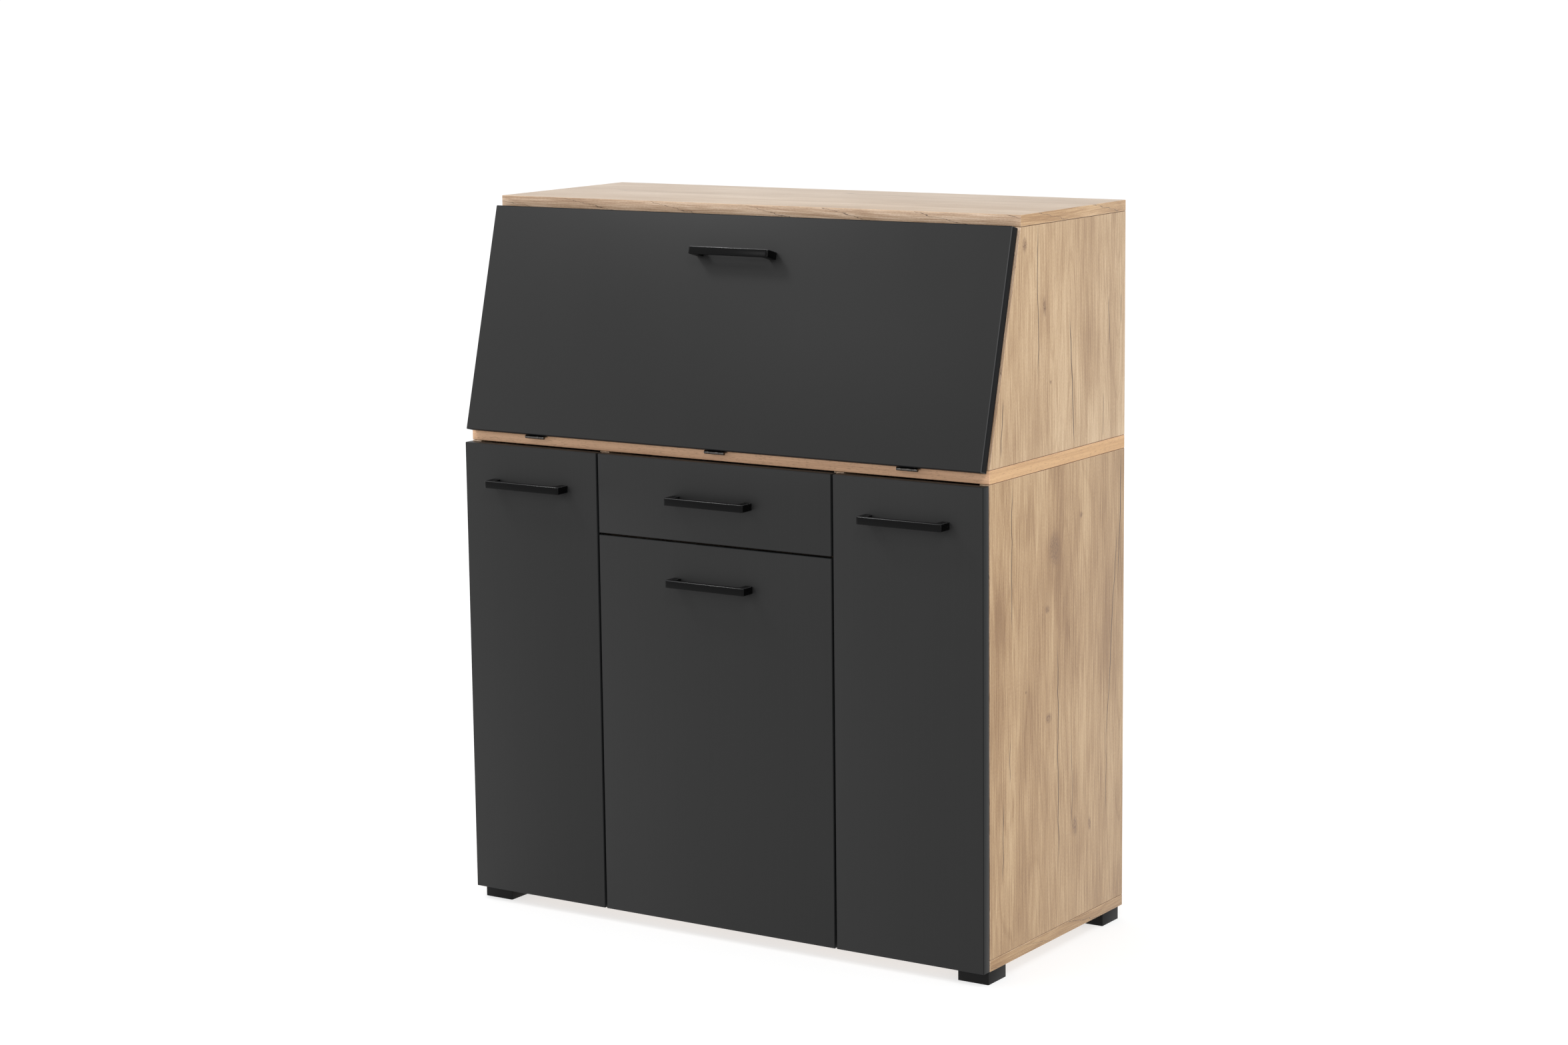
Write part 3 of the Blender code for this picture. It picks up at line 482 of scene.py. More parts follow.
# In each kind of finish, "swings" says how much its two patterns change the tone, "spread" how dark and light
# the tone's ends are as shares of the colour, and "bump" the depth in metres and strength of the texture.
beech = {
    "low": (0.385, 0.235, 0.125),
    "high": (0.600, 0.405, 0.230),
    "pore": (0.270, 0.148, 0.080),
    "tints": {
        "beechDecor": (0.97, 0.93, 0.97),
        # painted light: the front edge is lightened against the shade under the flap
        "beechFrontLit": (1.36, 1.28, 1.40),
        # painted light: the board's ends are lightened
        "beechEndLit": (1.14, 1.08, 0.98),
    },
    "swings": (0.6, 0.9),
    "poreStep": (0.60, 0.68),
    "poreDepth": 0.45,
    "poreHeight": -0.6,
    "roughness": 0.45,
    "roughSwing": 0.12,
    "gloss": 0.35,
    "bump": (0.00008, 0.5),
}
graphite = {
    # colour, then gloss
    "finishes": {
        "graphiteFace": ((0.0125, 0.0125, 0.0125), 0.25),
        "graphiteEdge": ((0.0110, 0.0120, 0.0125), 0.17),
        "graphiteArris": ((0.0130, 0.0135, 0.0135), 0.06),
        # painted shade: the flap's edge is darker and duller than the doors' edges
        "flapEdge": ((0.0105, 0.0108, 0.0115), 0.03),
        # painted highlight: the flap's arrises up both sides are lightened
        "flapArris": ((0.034, 0.034, 0.035), 0.25),
    },
    "swings": (0.25, 0.35),
    "spread": (0.75, 1.25),
    "roughness": 0.45,
    "roughSwing": 0.12,
    "bump": (0.00003, 0.5),
}
metals = {
    # colour, then roughness
    "finishes": {
        "nickel": ((0.66, 0.64, 0.60), 0.24),
        # painted reflection: a darker nickel for the flap hinges' knuckles
        "nickelDarkReflection": ((0.105, 0.098, 0.092), 0.17),
        "zincSteel": ((0.56, 0.57, 0.59), 0.36),
    },
    "swings": (0.5, 0.4),
    "spread": (0.72, 1.0),
    "roughSwing": 0.22,
    "bump": (0.00002, 0.4),
}
plains = {
    # colour, roughness, gloss, then the texture's cells per metre and depth
    "finishes": {
        "blackMetal": ((0.0012, 0.0012, 0.0013), 0.25, 0.10, 2600, 0.00001),
        # painted highlight: the handles' upward-facing rounded arrises are lightened
        "blackArrisHighlight": ((0.034, 0.034, 0.035), 0.22, 0.50, 2600, 0.00001),
        "blackPlastic": ((0.003, 0.003, 0.003), 0.45, 0.16, 1400, 0.00004),
        "whiteFoil": ((0.74, 0.74, 0.72), 0.42, 0.40, 700, 0.00003),
        "whitePlastic": ((0.78, 0.78, 0.76), 0.38, 0.40, 900, 0.00003),
        "clearRubber": ((0.62, 0.62, 0.60), 0.30, 0.40, 1500, 0.00003),
    },
    "swings": (0.4, 0.6),
    "spread": (0.86, 1.10),
    "roughSwing": 0.14,
    "bumpStrength": 0.5,
}
fibres = {
    # darkest and lightest colour, then flakes per metre
    "finishes": {
        "hardboard": ((0.20, 0.125, 0.075), (0.36, 0.245, 0.155), 500),
        "chipboard": ((0.34, 0.25, 0.16), (0.66, 0.53, 0.38), 420),
    },
    "swings": (0.9, 0.35),
    "roughness": 0.78,
    "roughSwing": 0.2,
    "bump": (0.0001, 0.6),
}


def swingTone(tree, look, first, second):
    weights = look["swings"]
    return addUp(tree, [weigh(tree, first, weights[0]), weigh(tree, second, weights[1]), 0.5])


def spreadColour(look, colour):
    return [toned(colour, share) for share in look["spread"]]


def makeBeech(name):
    material, tree, shader = startFinish(name)
    place = grainPlace(tree)
    fine = noiseAt(tree, place, *patterns["beechFine"])
    tone = swingTone(tree, beech, fine, noiseAt(tree, place, *patterns["beechWide"]))
    low, high = [toned(beech[key], *beech["tints"][name]) for key in ("low", "high")]
    colour = rampOf(tree, tone, [(0.15, low), (0.85, high)])
    pores = stepBetween(tree, noiseAt(tree, place, *patterns["beechPores"]), *beech["poreStep"])
    shade = sums(tree, "MULTIPLY", pores, beech["poreDepth"])
    feed(tree, shader, "Base Color", blendColours(tree, shade, colour, (*beech["pore"], 1)))
    roughen(tree, shader, fine, beech["roughness"], beech["roughSwing"])
    shader.inputs["Specular IOR Level"].default_value = beech["gloss"]
    height = sums(tree, "MULTIPLY_ADD", pores, beech["poreHeight"], fine)
    bumpFrom(tree, shader, height, *beech["bump"])
    return material


def makeGraphite(name):
    colour, gloss = graphite["finishes"][name]
    material, tree, shader = startFinish(name)
    place = objectPlace(tree)
    cloud = noiseAt(tree, place, *patterns["graphiteCloud"])
    tone = swingTone(tree, graphite, cloud, noiseAt(tree, place, *patterns["graphiteSpeck"]))
    dark, light = spreadColour(graphite, colour)
    feed(tree, shader, "Base Color", rampOf(tree, tone, [(0.0, dark), (1.0, light)]))
    roughen(tree, shader, cloud, graphite["roughness"], graphite["roughSwing"])
    shader.inputs["Specular IOR Level"].default_value = gloss
    bumpFrom(tree, shader, noiseAt(tree, place, *patterns["graphiteSkin"]), *graphite["bump"])
    return material


def makeMetal(name):
    colour, roughness = metals["finishes"][name]
    material, tree, shader = startFinish(name)
    place = objectPlace(tree)
    scratch = noiseAt(tree, place, *patterns["metalScratch"])
    tone = swingTone(tree, metals, noiseAt(tree, place, *patterns["metalMottle"]), scratch)
    dark, light = spreadColour(metals, colour)
    feed(tree, shader, "Base Color", rampOf(tree, tone, [(0.1, dark), (0.8, light)]))
    roughen(tree, shader, scratch, roughness, metals["roughSwing"])
    shader.inputs["Metallic"].default_value = 1.0
    bumpFrom(tree, shader, scratch, *metals["bump"])
    return material


def makePlain(name):
    colour, roughness, gloss, cells, depth = plains["finishes"][name]
    material, tree, shader = startFinish(name)
    place = objectPlace(tree)
    skin = noiseAt(tree, place, cells, cells)
    tone = swingTone(tree, plains, skin, noiseAt(tree, place, *patterns["plainCloud"]))
    dark, light = spreadColour(plains, colour)
    feed(tree, shader, "Base Color", rampOf(tree, tone, [(0.1, dark), (0.9, light)]))
    roughen(tree, shader, skin, roughness, plains["roughSwing"])
    shader.inputs["Specular IOR Level"].default_value = gloss
    bumpFrom(tree, shader, skin, depth, plains["bumpStrength"])
    return material


def makeFibre(name):
    # hardboard, or the cut edge of chipboard: pressed fibres and flakes
    low, high, flakes = fibres["finishes"][name]
    material, tree, shader = startFinish(name)
    place = objectPlace(tree)
    cells = put(tree, "TexVoronoi", {"Vector": place, "Scale": flakes}, feature="F1")
    hairs = noiseAt(tree, place, flakes * 2, flakes * 2, 4, 0.7)
    shade = put(tree, "SeparateColor", {0: cells.outputs["Color"]}).outputs[0]
    tone = swingTone(tree, fibres, hairs, shade)
    feed(tree, shader, "Base Color", rampOf(tree, tone, [(0.15, low), (0.85, high)]))
    roughen(tree, shader, hairs, fibres["roughness"], fibres["roughSwing"])
    bumpFrom(tree, shader, tone, *fibres["bump"])
    return material


def makeFloor():
    material, tree, shader = startFinish("studioFloor")
    shader.inputs["Base Color"].default_value = floorLook["colour"]
    shader.inputs["Roughness"].default_value = floorLook["roughness"]
    shader.inputs["Specular IOR Level"].default_value = floorLook["gloss"]
    shader.inputs["Emission Color"].default_value = (1, 1, 1, 1)
    shader.inputs["Emission Strength"].default_value = floorLook["glow"]
    bm = bmesh.new()
    bmesh.ops.create_grid(bm, x_segments=1, y_segments=1, size=floorLook["size"] / 2)
    mesh = bpy.data.meshes.new("studioFloor")
    bm.to_mesh(mesh)
    bm.free()
    mesh.materials.append(material)
    floor = bpy.data.objects.new("studioFloor", mesh)
    scene.collection.objects.link(floor)


setCamera()
setLight()
makeFloor()
print("camera, light and floor set")

finishes = {
    "oakDecor": makeOak("oakDecor"),
    "oakTopSheen": makeOak("oakTopSheen"),
    "oakLowerSideShaded": makeOak("oakLowerSideShaded", lowerMarks),
    "oakUpperSideLit": makeOak("oakUpperSideLit", upperMarks),
    "oakBand": makeOak("oakBand", band=True),
    "oakEnd": makeOak("oakEnd", band=True),
    "oakLowEndShaded": makeOak("oakLowEndShaded", band=True),
    "oakArrisHighlight": makeOak("oakArrisHighlight"),
}
finishes.update({name: makeBeech(name) for name in beech["tints"]})
finishes.update({name: makeFibre(name) for name in fibres["finishes"]})
finishes.update({name: makeGraphite(name) for name in graphite["finishes"]})
finishes.update({name: makeMetal(name) for name in metals["finishes"]})
finishes.update({name: makePlain(name) for name in plains["finishes"]})
print("finishes made:", len(finishes))


# Turning meshes into pieces

sharpAngle = 30  # faces that meet at more degrees than this make a sharp edge
cleaning = {"merge": 0.00001, "flatAngle": 0.5}
facing = {"flat": 0.9, "square": 0.999, "sideways": 0.1}  # how far a face's normal points one way
faceKinds = {"face": 0, "band": 1, "arris": 2, "raw": 3, "end": 4}  # places in a board's list of finishes
grainShifts = {"end": 0.37, "edge": 0.71, "board": 1.37, "depth": 1.7}  # so no two boards share a figure


def addPiece(name, bm, materials, body, replaced=()):
    mesh = bpy.data.meshes.new(name)
    bm.to_mesh(mesh)
    bm.free()
    for material in materials:
        mesh.materials.append(finishes[material])
    mesh.shade_smooth()
    mesh.set_sharp_from_angle(angle=math.radians(sharpAngle))
    piece = bpy.data.objects.new(name, mesh)
    scene.collection.objects.link(piece)
    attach(piece, body)
    if replaced:
        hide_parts(*replaced)


def bodyOf(node):
    return nodes[node]["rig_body"]


def softenEdges(bm, width, segments, angle=sharpAngle):
    sharp = [edge for edge in bm.edges if edge.calc_face_angle(0) > math.radians(angle)]
    return bmesh.ops.bevel(
        bm, geom=sharp, offset=width, offset_type="OFFSET", segments=segments, profile=0.5,
        affect="EDGES", clamp_overlap=True, material=-1,
    )["faces"]


def copyOf(node):
    # the node's solid as clean faces instead of loose triangles
    bm = bmesh.new()
    bm.from_mesh(nodes[node].data)
    bmesh.ops.remove_doubles(bm, verts=bm.verts, dist=cleaning["merge"])
    flat = math.radians(cleaning["flatAngle"])
    bmesh.ops.dissolve_limit(bm, angle_limit=flat, verts=bm.verts, edges=bm.edges)
    return bm


def boxBetween(bm, low, high):
    made = bmesh.ops.create_cube(bm, size=1)["verts"]
    bmesh.ops.scale(bm, vec=Vector(high) - Vector(low), verts=made)
    bmesh.ops.translate(bm, vec=(Vector(high) + Vector(low)) / 2, verts=made)
    return made


def layGrain(bm, wide, along, seed):
    # wide and along are the axes across the wide faces and along the grain; the grain of each edge band
    # runs along it
    across = 3 - wide - along
    layer = bm.loops.layers.float_vector.new("grain")
    for face in bm.faces:
        way = max(range(3), key=lambda i: abs(face.normal[i]))
        flat = abs(face.normal[way]) > facing["flat"]
        if way == wide:
            first, second, shift = along, across, 0.0
        elif way == along:
            first, second, shift = across, wide, grainShifts["end"]
        else:
            first, second, shift = along, wide, grainShifts["edge"]
        kind = "face" if way == wide and flat else "band"
        if way == along and along == 0 and flat:
            kind = "end"
        if way == 1 and face.normal.y > facing["flat"]:
            kind = "raw"  # the back edges have no band
        face.material_index = faceKinds[kind]
        for loop in face.loops:
            spot = loop.vert.co
            depth = seed * grainShifts["depth"] + shift
            loop[layer] = (spot[first] + seed, spot[second] + shift, depth)


def markArrises(bm, faces):
    for face in faces:
        if face.is_valid and face.calc_area() > 0:
            face.material_index = faceKinds["arris"]


# Oak boards of the carcass

boards = {
    "arris": 0.0005,
    "dividerSetback": 0.002,
    "seam": 0.0004,  # an upright board's ends stand back this far, which draws the joint's line
    # the axis across each board's wide faces, then the axis of its grain
    "grain": {
        "bottom_panel": (2, 0), "left_lower_side": (0, 2), "right_lower_side": (0, 2),
        "left_divider": (0, 2), "right_divider": (0, 2), "drawer_shelf": (2, 0),
        "left_shelf": (2, 0), "centre_shelf": (2, 0), "right_shelf": (2, 0),
        "left_upper_side": (0, 2), "right_upper_side": (0, 2), "top_panel": (2, 0), "letter_shelf": (2, 0),
    },
    # the right sides and the top take copies of the oak with painted light, painted shade and a painted sheen
    "faces": {"right_lower_side": "oakLowerSideShaded", "right_upper_side": "oakUpperSideLit", "top_panel": "oakTopSheen"},
}


def makeBoards():
    for count, (node, (wide, along)) in enumerate(boards["grain"].items()):
        low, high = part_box(node)
        middle = (low.z + high.z) / 2
        bm = bmesh.new()
        verts = boxBetween(bm, low, high)
        if node.endswith("upper_side"):
            for vert in verts:
                if vert.co.z > middle and vert.co.y < 0:
                    vert.co.y += lean * (high.z - low.z)
        if node.endswith("_divider"):
            for vert in verts:
                vert.co.y += boards["dividerSetback"] if vert.co.y < 0 else 0
        if along == 2:
            for vert in verts:
                vert.co.z += boards["seam"] if vert.co.z < middle else -boards["seam"]
        rounded = softenEdges(bm, boards["arris"], 3)
        layGrain(bm, wide, along, grainShifts["board"] * count)
        # the rounded arrises take the oak copy with a painted highlight
        markArrises(bm, rounded)
        face = boards["faces"].get(node, "oakDecor")
        # the bottom panel's ends take the oak copy with painted shade
        end = "oakLowEndShaded" if node == "bottom_panel" else "oakEnd"
        skin = [face, "oakBand", "oakArrisHighlight", "chipboard", end]
        addPiece(node + "_board", bm, skin, bodyOf(node), [node])


makeBoards()
print("carcass boards made")


# Desk board, backs and fronts

deskBoard = {
    "axes": (2, 0),
    "seed": 4.2,
    # the front edge and the ends take the beech copies with painted light
    "finishes": ["beechDecor", "beechFrontLit", "beechDecor", "chipboard", "beechEndLit"],
}


def makeDeskBoard():
    bm = copyOf("desk_board")
    layGrain(bm, *deskBoard["axes"], deskBoard["seed"])
    addPiece("desk_board_panel", bm, deskBoard["finishes"], "carcass", ["desk_board"])


backs = {
    "nailRoom": 0.0004,  # the sheet lies this much deeper, so the nail heads end flush
    "arris": 0.0002,
}


def makeBacks():
    for node in ("lower_back_panel", "upper_back_panel"):
        low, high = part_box(node)
        high.y -= backs["nailRoom"]
        bm = bmesh.new()
        boxBetween(bm, low, high)
        softenEdges(bm, backs["arris"], 1)
        addPiece(node + "_sheet", bm, ["hardboard"], "carcass", [node])


def makeFront(node, normal, trim="graphite"):
    # the wide faces are laminate, the narrow ones edge band, with a fine arris up both sides
    bm = copyOf(node)
    for face in bm.faces:
        sideways = abs(face.normal.x)
        square = max(sideways, abs(face.normal.cross(normal).x)) > facing["square"]
        if abs(face.normal.dot(normal)) > facing["square"]:
            face.material_index = 0
        elif sideways < facing["sideways"] or square:
            face.material_index = 1
        else:
            face.material_index = 2
    skin = ["graphiteFace", trim + "Edge", trim + "Arris"]
    addPiece(node + "_front", bm, skin, bodyOf(node), [node])


makeDeskBoard()
makeBacks()
flapNormal = (flapSpace.to_3x3() @ Vector((0, 1, 0))).normalized()
# the flap takes a darker edge as painted shade and a lighter arris up both sides as a painted highlight
makeFront("flap_panel", flapNormal, "flap")
for node in ("left_door", "centre_door", "right_door", "drawer_front"):
    makeFront(node, Vector((0, 1, 0)))
print("fronts made")


# Handles, feet, hinges and stays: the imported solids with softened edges

arrises = {
    # width and segments of the softened edges, then the record's slot
    "blackMetal": (0.0009, 3, "black_metal"),
    "nickel": (0.00015, 2, "nickel"),
    "zincSteel": (0.0003, 2, "zinc_steel"),
}
trims = {
    "lightFacing": 0.35,  # a handle's rounded faces that look up more than this get the painted highlight
    "knuckleReach": 0.0085,  # a flap hinge's knuckles lie within this of its axis
}
feet = {"corner": 0.0015, "rim": 0.003, "hollow": 0.014, "arris": 0.0004, "sharpAngle": 60}


def refine(node, finish):
    width, segments, slotName = arrises[finish]
    bm = copyOf(node)
    rounded = softenEdges(bm, width, segments)
    skin = [finish]
    # the handle's upward-facing rounded faces take a painted highlight
    if finish == "blackMetal":
        skin.append("blackArrisHighlight")
        for face in rounded:
            face.material_index = 1 if face.normal.z > trims["lightFacing"] else 0
    if "_flap_hinge_" in node:
        # the knuckles take a darker nickel than the cups: a painted dark reflection
        skin.append("nickelDarkReflection")
        for face in bm.faces:
            middle = flapSpace.inverted() @ face.calc_center_median()
            near = math.hypot(middle.y, middle.z) < trims["knuckleReach"]
            face.material_index = 1 if near else 0
    addPiece(node + "_part", bm, skin, bodyOf(node), [node])


def makeFoot(node):
    low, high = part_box(node)
    bm = bmesh.new()
    boxBetween(bm, low, high)
    upright = [edge for edge in bm.edges if abs(edge.verts[0].co.z - edge.verts[1].co.z) > 0.001]
    bmesh.ops.bevel(
        bm, geom=upright, offset=feet["corner"], segments=3, profile=0.5, affect="EDGES", material=-1,
    )
    base = min(bm.faces, key=lambda face: face.calc_center_median().z)
    bmesh.ops.inset_individual(bm, faces=[base], thickness=feet["rim"])
    lifted = bmesh.ops.extrude_discrete_faces(bm, faces=[base])["faces"]
    bmesh.ops.translate(bm, vec=(0, 0, feet["hollow"]), verts=lifted[0].verts)
    softenEdges(bm, feet["arris"], 2, feet["sharpAngle"])
    addPiece(node + "_block", bm, ["blackPlastic"], "carcass", [node])


for node in sorted(nodes):
    if node.endswith("_handle"):
        refine(node, "blackMetal")
    elif "_hinge_" in node:
        refine(node, "nickel")
    elif "_stay_" in node:
        refine(node, "zincSteel")
    elif node.endswith("_foot"):
        makeFoot(node)
print("fittings made")


# Drawer box

def makeDrawerBox():
    for node in ("drawer_left_side", "drawer_right_side", "drawer_back"):
        bm = copyOf(node)
        addPiece(node + "_panel", bm, ["whiteFoil"], "drawer", [node])
    bm = copyOf("drawer_bottom")
    addPiece("drawer_bottom_sheet", bm, ["hardboard"], "drawer", ["drawer_bottom"])
    for side in ("left", "right"):
        node = side + "_drawer_runner"
        addPiece(node + "_strip", copyOf(node), ["whitePlastic"], "carcass", [node])


makeDrawerBox()
print("drawer box made")


# Screws, cam locks, pins, rivets, nails and bumpers, gathered into one piece for each body and finish

hardware = {
    # radius and height of each head, in metres
    "plateScrew": (0.0038, 0.0013),
    "adjustScrew": (0.0031, 0.0008),
    "cupScrew": (0.0026, 0.0008),
    "handleScrew": (0.0040, 0.0016),
    "dishScrew": (0.0034, 0.0016),
    "bracketScrew": (0.0028, 0.0010),
    "postScrew": (0.0042, 0.0007),
    "rivet": (0.0034, 0.0008),
    "footScrew": (0.0042, 0.0018),
    "drawerScrew": (0.0030, 0.0004),
    "runnerScrew": (0.0029, 0.0002),
    "camLock": (0.0075, 0.0005),
    "nail": (0.0015, 0.0004),
    "bumper": (0.0029, 0.0016),
    "shelfPin": (1, 1),  # its shape is in metres already
}
pinLook = {
    "radius": 0.0025, "collar": 0.0034, "length": 0.0080,
    "rim": (0.0011, 0.0014),  # heights of the collar's edge and foot
    "tip": 0.0005,
}
recess = {"cells": 7, "reach": 0.62, "half": 0.1, "taper": 0.78, "depth": 0.55}  # shares of a head's size
crowns = {"head": 0.45, "disc": 0.10}  # how far a head's middle stands up
rounds = {"dome": 16, "nail": 8, "pin": 16}  # steps round each turned shape
domeAngles = (0, 28, 56, 90)
headTurn = (0.9, 41, 57)  # turns each head by its place, so their crosses stand at different angles


def turned(profile, steps):
    # a profile of (radius, height) points spun round Z
    bm = bmesh.new()
    verts = [bm.verts.new((radius, 0, height)) for radius, height in profile]
    edges = [bm.edges.new(pair) for pair in zip(verts, verts[1:])]
    bmesh.ops.spin(
        bm, geom=verts + edges, axis=(0, 0, 1), cent=(0, 0, 0), angle=math.tau, steps=steps, use_merge=True,
    )
    bmesh.ops.remove_doubles(bm, verts=bm.verts, dist=cleaning["merge"])
    bmesh.ops.recalc_face_normals(bm, faces=bm.faces)
    return bm


def domeShape(steps):
    # a low dome of radius 1 and height 1 on a flat base
    turns = [math.radians(angle) for angle in domeAngles]
    return turned([(0, 0)] + [(math.cos(turn), math.sin(turn)) for turn in turns], steps)


def headShape(crown):
    # a screw head of radius 1 and height 1 with a cross recess
    bm = bmesh.new()
    bmesh.ops.create_grid(bm, x_segments=recess["cells"], y_segments=recess["cells"], size=1)
    cross = []
    for face in bm.faces:
        middle = face.calc_center_median()
        near, far = sorted((abs(middle.x), abs(middle.y)))
        if near < recess["half"] and far < recess["reach"]:
            cross.append(face)
    for vert in bm.verts:
        x, y = vert.co.x, vert.co.y
        vert.co.x = x * math.sqrt(1 - y * y / 2)
        vert.co.y = y * math.sqrt(1 - x * x / 2)
        vert.co.z = 1 - crown * (vert.co.x ** 2 + vert.co.y ** 2)
    rim = [edge for edge in bm.edges if edge.is_boundary]
    made = bmesh.ops.extrude_edge_only(bm, edges=rim)["geom"]
    for vert in made:
        if isinstance(vert, bmesh.types.BMVert):
            vert.co.z = 0
    bmesh.ops.holes_fill(bm, edges=[edge for edge in bm.edges if edge.is_boundary], sides=0)
    made = bmesh.ops.extrude_face_region(bm, geom=cross)["geom"]
    sunk = [vert for vert in made if isinstance(vert, bmesh.types.BMVert)]
    bmesh.ops.scale(bm, vec=(recess["taper"], recess["taper"], 1), verts=sunk)
    bmesh.ops.translate(bm, vec=(0, 0, -recess["depth"]), verts=sunk)
    bmesh.ops.recalc_face_normals(bm, faces=bm.faces)
    return bm


def pinShape():
    radius, collar, length = pinLook["radius"], pinLook["collar"], pinLook["length"]
    rim, neck = pinLook["rim"]
    tip = pinLook["tip"]
    profile = [(0, 0), (collar, 0), (collar, rim), (radius, neck)]
    return turned(profile + [(radius, length - tip), (radius - tip, length), (0, length)], rounds["pin"])


def meshOf(name, bm):
    mesh = bpy.data.meshes.new(name)
    bm.to_mesh(mesh)
    bm.free()
    return mesh


shapes = {
    "head": meshOf("headShape", headShape(crowns["head"])),
    "disc": meshOf("discShape", headShape(crowns["disc"])),
    "dome": meshOf("domeShape", domeShape(rounds["dome"])),
    "nail": meshOf("nailShape", domeShape(rounds["nail"])),
    "pin": meshOf("pinShape", pinShape()),
}
sets = {
    "carcass_screws": ("carcass", "zincSteel", "zinc_steel"),
    "carcass_cam_locks": ("carcass", "nickel", "nickel"),
    "carcass_shelf_pins": ("carcass", "nickel", "nickel"),
    "carcass_nails": ("carcass", "zincSteel", "zinc_steel"),
    "flap_screws": ("flap", "zincSteel", "zinc_steel"),
    "drawer_screws": ("drawer", "zincSteel", "zinc_steel"),
    "left_door_screws": ("left_door", "zincSteel", "zinc_steel"),
    "centre_door_screws": ("centre_door", "zincSteel", "zinc_steel"),
    "right_door_screws": ("right_door", "zincSteel", "zinc_steel"),
    "left_stay_rivet": ("left_stay_front", "zincSteel", "zinc_steel"),
    "right_stay_rivet": ("right_stay_front", "zincSteel", "zinc_steel"),
    "flap_bumpers": ("flap", "clearRubber", "white_plastic"),
    "drawer_bumpers": ("drawer", "clearRubber", "white_plastic"),
    "left_door_bumpers": ("left_door", "clearRubber", "white_plastic"),
    "centre_door_bumpers": ("centre_door", "clearRubber", "white_plastic"),
    "right_door_bumpers": ("right_door", "clearRubber", "white_plastic"),
}
gathered = {name: bmesh.new() for name in sets}


def fit(name, shape, kind, at, facing, space=None):
    # stamps one shape at a place, facing a direction, with a turn of its own
    radius, height = hardware[kind]
    scale = Matrix.Diagonal((radius, radius, height, 1))
    own = Matrix.Rotation(sum(share * part for share, part in zip(headTurn, at)), 4, "Z")
    aim = Vector(facing).to_track_quat("Z", "Y").to_matrix().to_4x4()
    place = Matrix.Translation(at) @ aim @ own @ scale
    stamp = shapes[shape].copy()
    stamp.transform((space @ place) if space else place)
    gathered[name].from_mesh(stamp)
    bpy.data.meshes.remove(stamp)


def middleOf(node):
    low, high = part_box(node)
    return (low + high) / 2


# Where the hardware sits, in metres: faces are along X, depths along Y and heights along Z, and steps go both
# ways from the middle of the part that a head holds.
hingeSpots = {
    "plateSheet": 0.0026, "plateDepth": -0.1335, "plateSteps": (-0.013, 0.013),
    "armDepths": (-0.1305, -0.1485),
    "cupSteps": (-0.021, 0.021), "cupSink": 0.00005,
}


def fitDoorHinges():
    walls = {
        "left_door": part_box("left_lower_side")[1].x,
        "centre_door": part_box("left_divider")[1].x,
        "right_door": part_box("right_lower_side")[0].x,
    }
    for door, wall in walls.items():
        way = 1 if wall < 0 else -1
        for level in ("lower", "upper"):
            low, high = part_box(f"{door}_{level}_hinge_arm")
            outer = high.x if way > 0 else low.x
            z = (low.z + high.z) / 2
            for step in hingeSpots["plateSteps"]:
                at = (wall + way * hingeSpots["plateSheet"], hingeSpots["plateDepth"], z + step)
                fit("carcass_screws", "head", "plateScrew", at, (way, 0, 0))
            for y in hingeSpots["armDepths"]:
                fit("carcass_screws", "head", "adjustScrew", (outer, y, z), (way, 0, 0))
            cup = f"{door}_{level}_hinge_cup"
            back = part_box(cup)[1].y - hingeSpots["cupSink"]
            for step in hingeSpots["cupSteps"]:
                at = (middleOf(cup).x, back, z + step)
                fit(door + "_screws", "head", "cupScrew", at, (0, 1, 0))


handleSteps = (-0.06275, 0.06275)  # the screws' places from the middle of a handle
flapInner = 0.0057  # from the flap hinge's axis to the flap's inner face


def fitHandles():
    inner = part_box("left_door")[1].y
    for front in ("left_door", "centre_door", "right_door", "drawer"):
        middle = middleOf(front + "_handle")
        for step in handleSteps:
            at = (middle.x + step, inner, middle.z)
            fit(front + "_screws", "head", "handleScrew", at, (0, 1, 0))
    middle = flapSpace.inverted() @ middleOf("flap_handle")
    for step in handleSteps:
        fit("flap_screws", "head", "handleScrew", (step, flapInner, middle.z), (0, 1, 0), flapSpace)


dishSpots = {"steps": (-0.0065, 0.0065), "boardDepth": 0.020, "sunk": 0.0081, "flapHeight": 0.02294}


def fitFlapHinges():
    for word in ("left", "centre", "right"):
        x = middleOf(word + "_flap_hinge_fixed_leaf").x
        for step in dishSpots["steps"]:
            at = (x + step, deskLow.y + dishSpots["boardDepth"], deskHigh.z - dishSpots["sunk"])
            fit("carcass_screws", "head", "dishScrew", at, (0, 0, 1))
            at = (x + step, flapInner - dishSpots["sunk"], dishSpots["flapHeight"])
            fit("flap_screws", "head", "dishScrew", at, (0, 1, 0), flapSpace)


staySpots = {
    "postFace": 0.4297, "rivetFace": 0.4267, "barHalf": 0.006,
    "bracketFace": 0.4155, "bracketHeight": 0.110, "bracketSteps": (-0.008, 0.008), "bracketSheet": 0.0018,
}


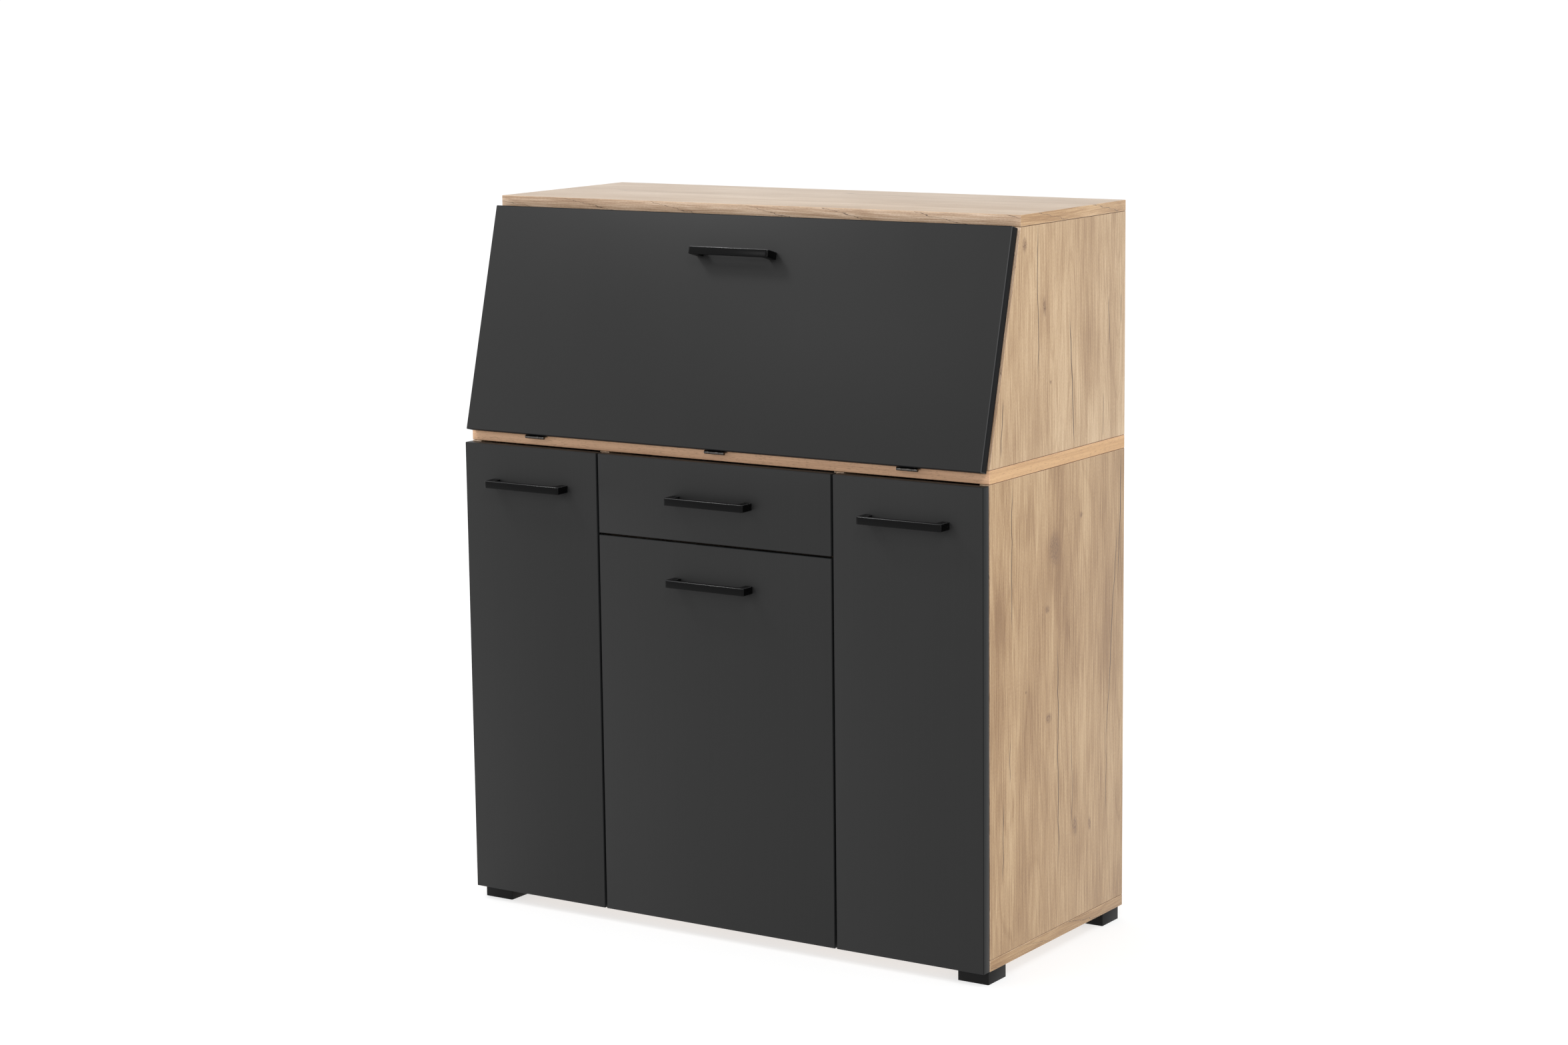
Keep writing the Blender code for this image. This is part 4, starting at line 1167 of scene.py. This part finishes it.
def fitStays():
    half = staySpots["barHalf"]
    for word, way in (("left", 1), ("right", -1)):
        post = Vector(jointList[word + "_stay_rear_pivot"]["pos_m"])
        low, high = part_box(word + "_stay_rear_arm")
        at = (-way * staySpots["postFace"], post.y, post.z)
        fit("carcass_screws", "head", "postScrew", at, (way, 0, 0))
        # the knee is the rear arm's far end, half a bar in from its box
        ends = [(y, z) for y in (low.y + half, high.y - half) for z in (low.z + half, high.z - half)]
        knee = max(ends, key=lambda end: (end[0] - post.y) ** 2 + (end[1] - post.z) ** 2)
        at = (-way * staySpots["rivetFace"], *knee)
        fit(word + "_stay_rivet", "dome", "rivet", at, (way, 0, 0))
        for step in staySpots["bracketSteps"]:
            z = staySpots["bracketHeight"] + step
            at = (-way * staySpots["bracketFace"], flapInner + staySpots["bracketSheet"], z)
            fit("flap_screws", "head", "bracketScrew", at, (0, 1, 0), flapSpace)


shelfSpots = {"fromEdge": 0.037, "gap": 0.001, "under": 0.0001}


def fitShelves():
    edge, gap = shelfSpots["fromEdge"], shelfSpots["gap"]
    for node in ("left_shelf", "centre_shelf", "right_shelf"):
        low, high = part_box(node)
        z = low.z - pinLook["collar"] - shelfSpots["under"]
        for y in (low.y + edge, high.y - edge):
            for wall, way in ((low.x - gap, 1), (high.x + gap, -1)):
                fit("carcass_shelf_pins", "pin", "shelfPin", (wall, y, z), (way, 0, 0))


lockSpots = {
    "shelfSide": 0.034, "shelfFront": 0.050, "shelfBack": 0.060,
    "sideFace": 0.434, "sideHeights": (0.070, 0.679, 0.766, 1.026),
    "dividerFace": 0.2125, "dividerHeights": (0.070, 0.679),
    "depths": (-0.100, 0.160), "topDepths": (-0.060, 0.160),  # the top pair stands behind the slope
    "drawer": (0.1825, -0.1465, 0.652),
}
drawerSpots = {"screwFace": 0.1945, "screwDepth": 0.1582, "screwHeights": (0.630, 0.680)}
runnerSpots = {"face": 0.1877, "depths": (-0.150, -0.010, 0.130), "height": 0.658}
footScrewHeight = 0.014


def fitCamLocks():
    for node in ("drawer_shelf", "letter_shelf"):
        low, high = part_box(node)
        for x in (low.x + lockSpots["shelfSide"], high.x - lockSpots["shelfSide"]):
            for y in (low.y + lockSpots["shelfFront"], high.y - lockSpots["shelfBack"]):
                fit("carcass_cam_locks", "disc", "camLock", (x, y, low.z), (0, 0, -1))
    for way in (-1, 1):
        for z in lockSpots["sideHeights"]:
            for y in lockSpots["topDepths" if z == max(lockSpots["sideHeights"]) else "depths"]:
                at = (way * lockSpots["sideFace"], y, z)
                fit("carcass_cam_locks", "disc", "camLock", at, (-way, 0, 0))
        for z in lockSpots["dividerHeights"]:
            for y in lockSpots["depths"]:
                at = (way * lockSpots["dividerFace"], y, z)
                fit("carcass_cam_locks", "disc", "camLock", at, (way, 0, 0))


def fitDrawer():
    for way in (-1, 1):
        x, y, z = lockSpots["drawer"]
        fit("drawer_screws", "disc", "camLock", (way * x, y, z), (-way, 0, 0))
        for z in drawerSpots["screwHeights"]:
            at = (way * drawerSpots["screwFace"], drawerSpots["screwDepth"], z)
            fit("drawer_screws", "head", "drawerScrew", at, (way, 0, 0))
        for y in runnerSpots["depths"]:
            at = (way * runnerSpots["face"], y, runnerSpots["height"])
            fit("carcass_screws", "disc", "runnerScrew", at, (-way, 0, 0))


def fitFeet():
    for node in sorted(nodes):
        if node.endswith("_foot"):
            middle = middleOf(node)
            at = (middle.x, middle.y, footScrewHeight)
            fit("carcass_screws", "head", "footScrew", at, (0, 0, -1))


nailSpots = {
    "pitch": 0.11, "edge": 0.442, "divider": 0.2045,
    "lower": (0.028, 0.7172), "upper": (0.7273, 1.068),  # the bottom and top row of each back panel
}


def spread(low, high):
    count = round((high - low) / nailSpots["pitch"])
    return [low + (high - low) * i / count for i in range(count + 1)]


def fitNails():
    edge, divider = nailSpots["edge"], nailSpots["divider"]
    places = [(x, z) for z in nailSpots["lower"] + nailSpots["upper"] for x in spread(-edge, edge)]
    places += [(x, z) for x in (-edge, -divider, divider, edge) for z in spread(*nailSpots["lower"])[1:-1]]
    places += [(x, z) for x in (-edge, edge) for z in spread(*nailSpots["upper"])[1:-1]]
    back = cadBox[1].y - hardware["nail"][1]
    for x, z in places:
        fit("carcass_nails", "nail", "nail", (x, back, z), (0, 1, 0))


bumperSpots = {
    "left_door": [(-0.2096, 0.045), (-0.2096, 0.690)],
    "centre_door": [(0.1996, 0.045), (0.1996, 0.570)],
    "right_door": [(0.2096, 0.045), (0.2096, 0.690)],
    "drawer": [(-0.1996, 0.604), (0.1996, 0.604), (-0.1996, 0.701), (0.1996, 0.701)],
    "flap": [(-0.4415, 0.322), (0.4415, 0.322)],  # in the flap's own space
}


def fitBumpers():
    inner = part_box("left_door")[1].y
    for front, places in bumperSpots.items():
        face, space = (flapInner, flapSpace) if front == "flap" else (inner, None)
        for x, z in places:
            fit(front + "_bumpers", "dome", "bumper", (x, face, z), (0, 1, 0), space)


fitDoorHinges()
fitHandles()
fitFlapHinges()
fitStays()
fitShelves()
fitCamLocks()
fitDrawer()
fitFeet()
fitNails()
fitBumpers()
for name, (body, finish, slotName) in sets.items():
    addPiece(name, gathered[name], [finish], body)
for mesh in shapes.values():
    bpy.data.meshes.remove(mesh)
print("hardware fitted:", len(sets), "sets")
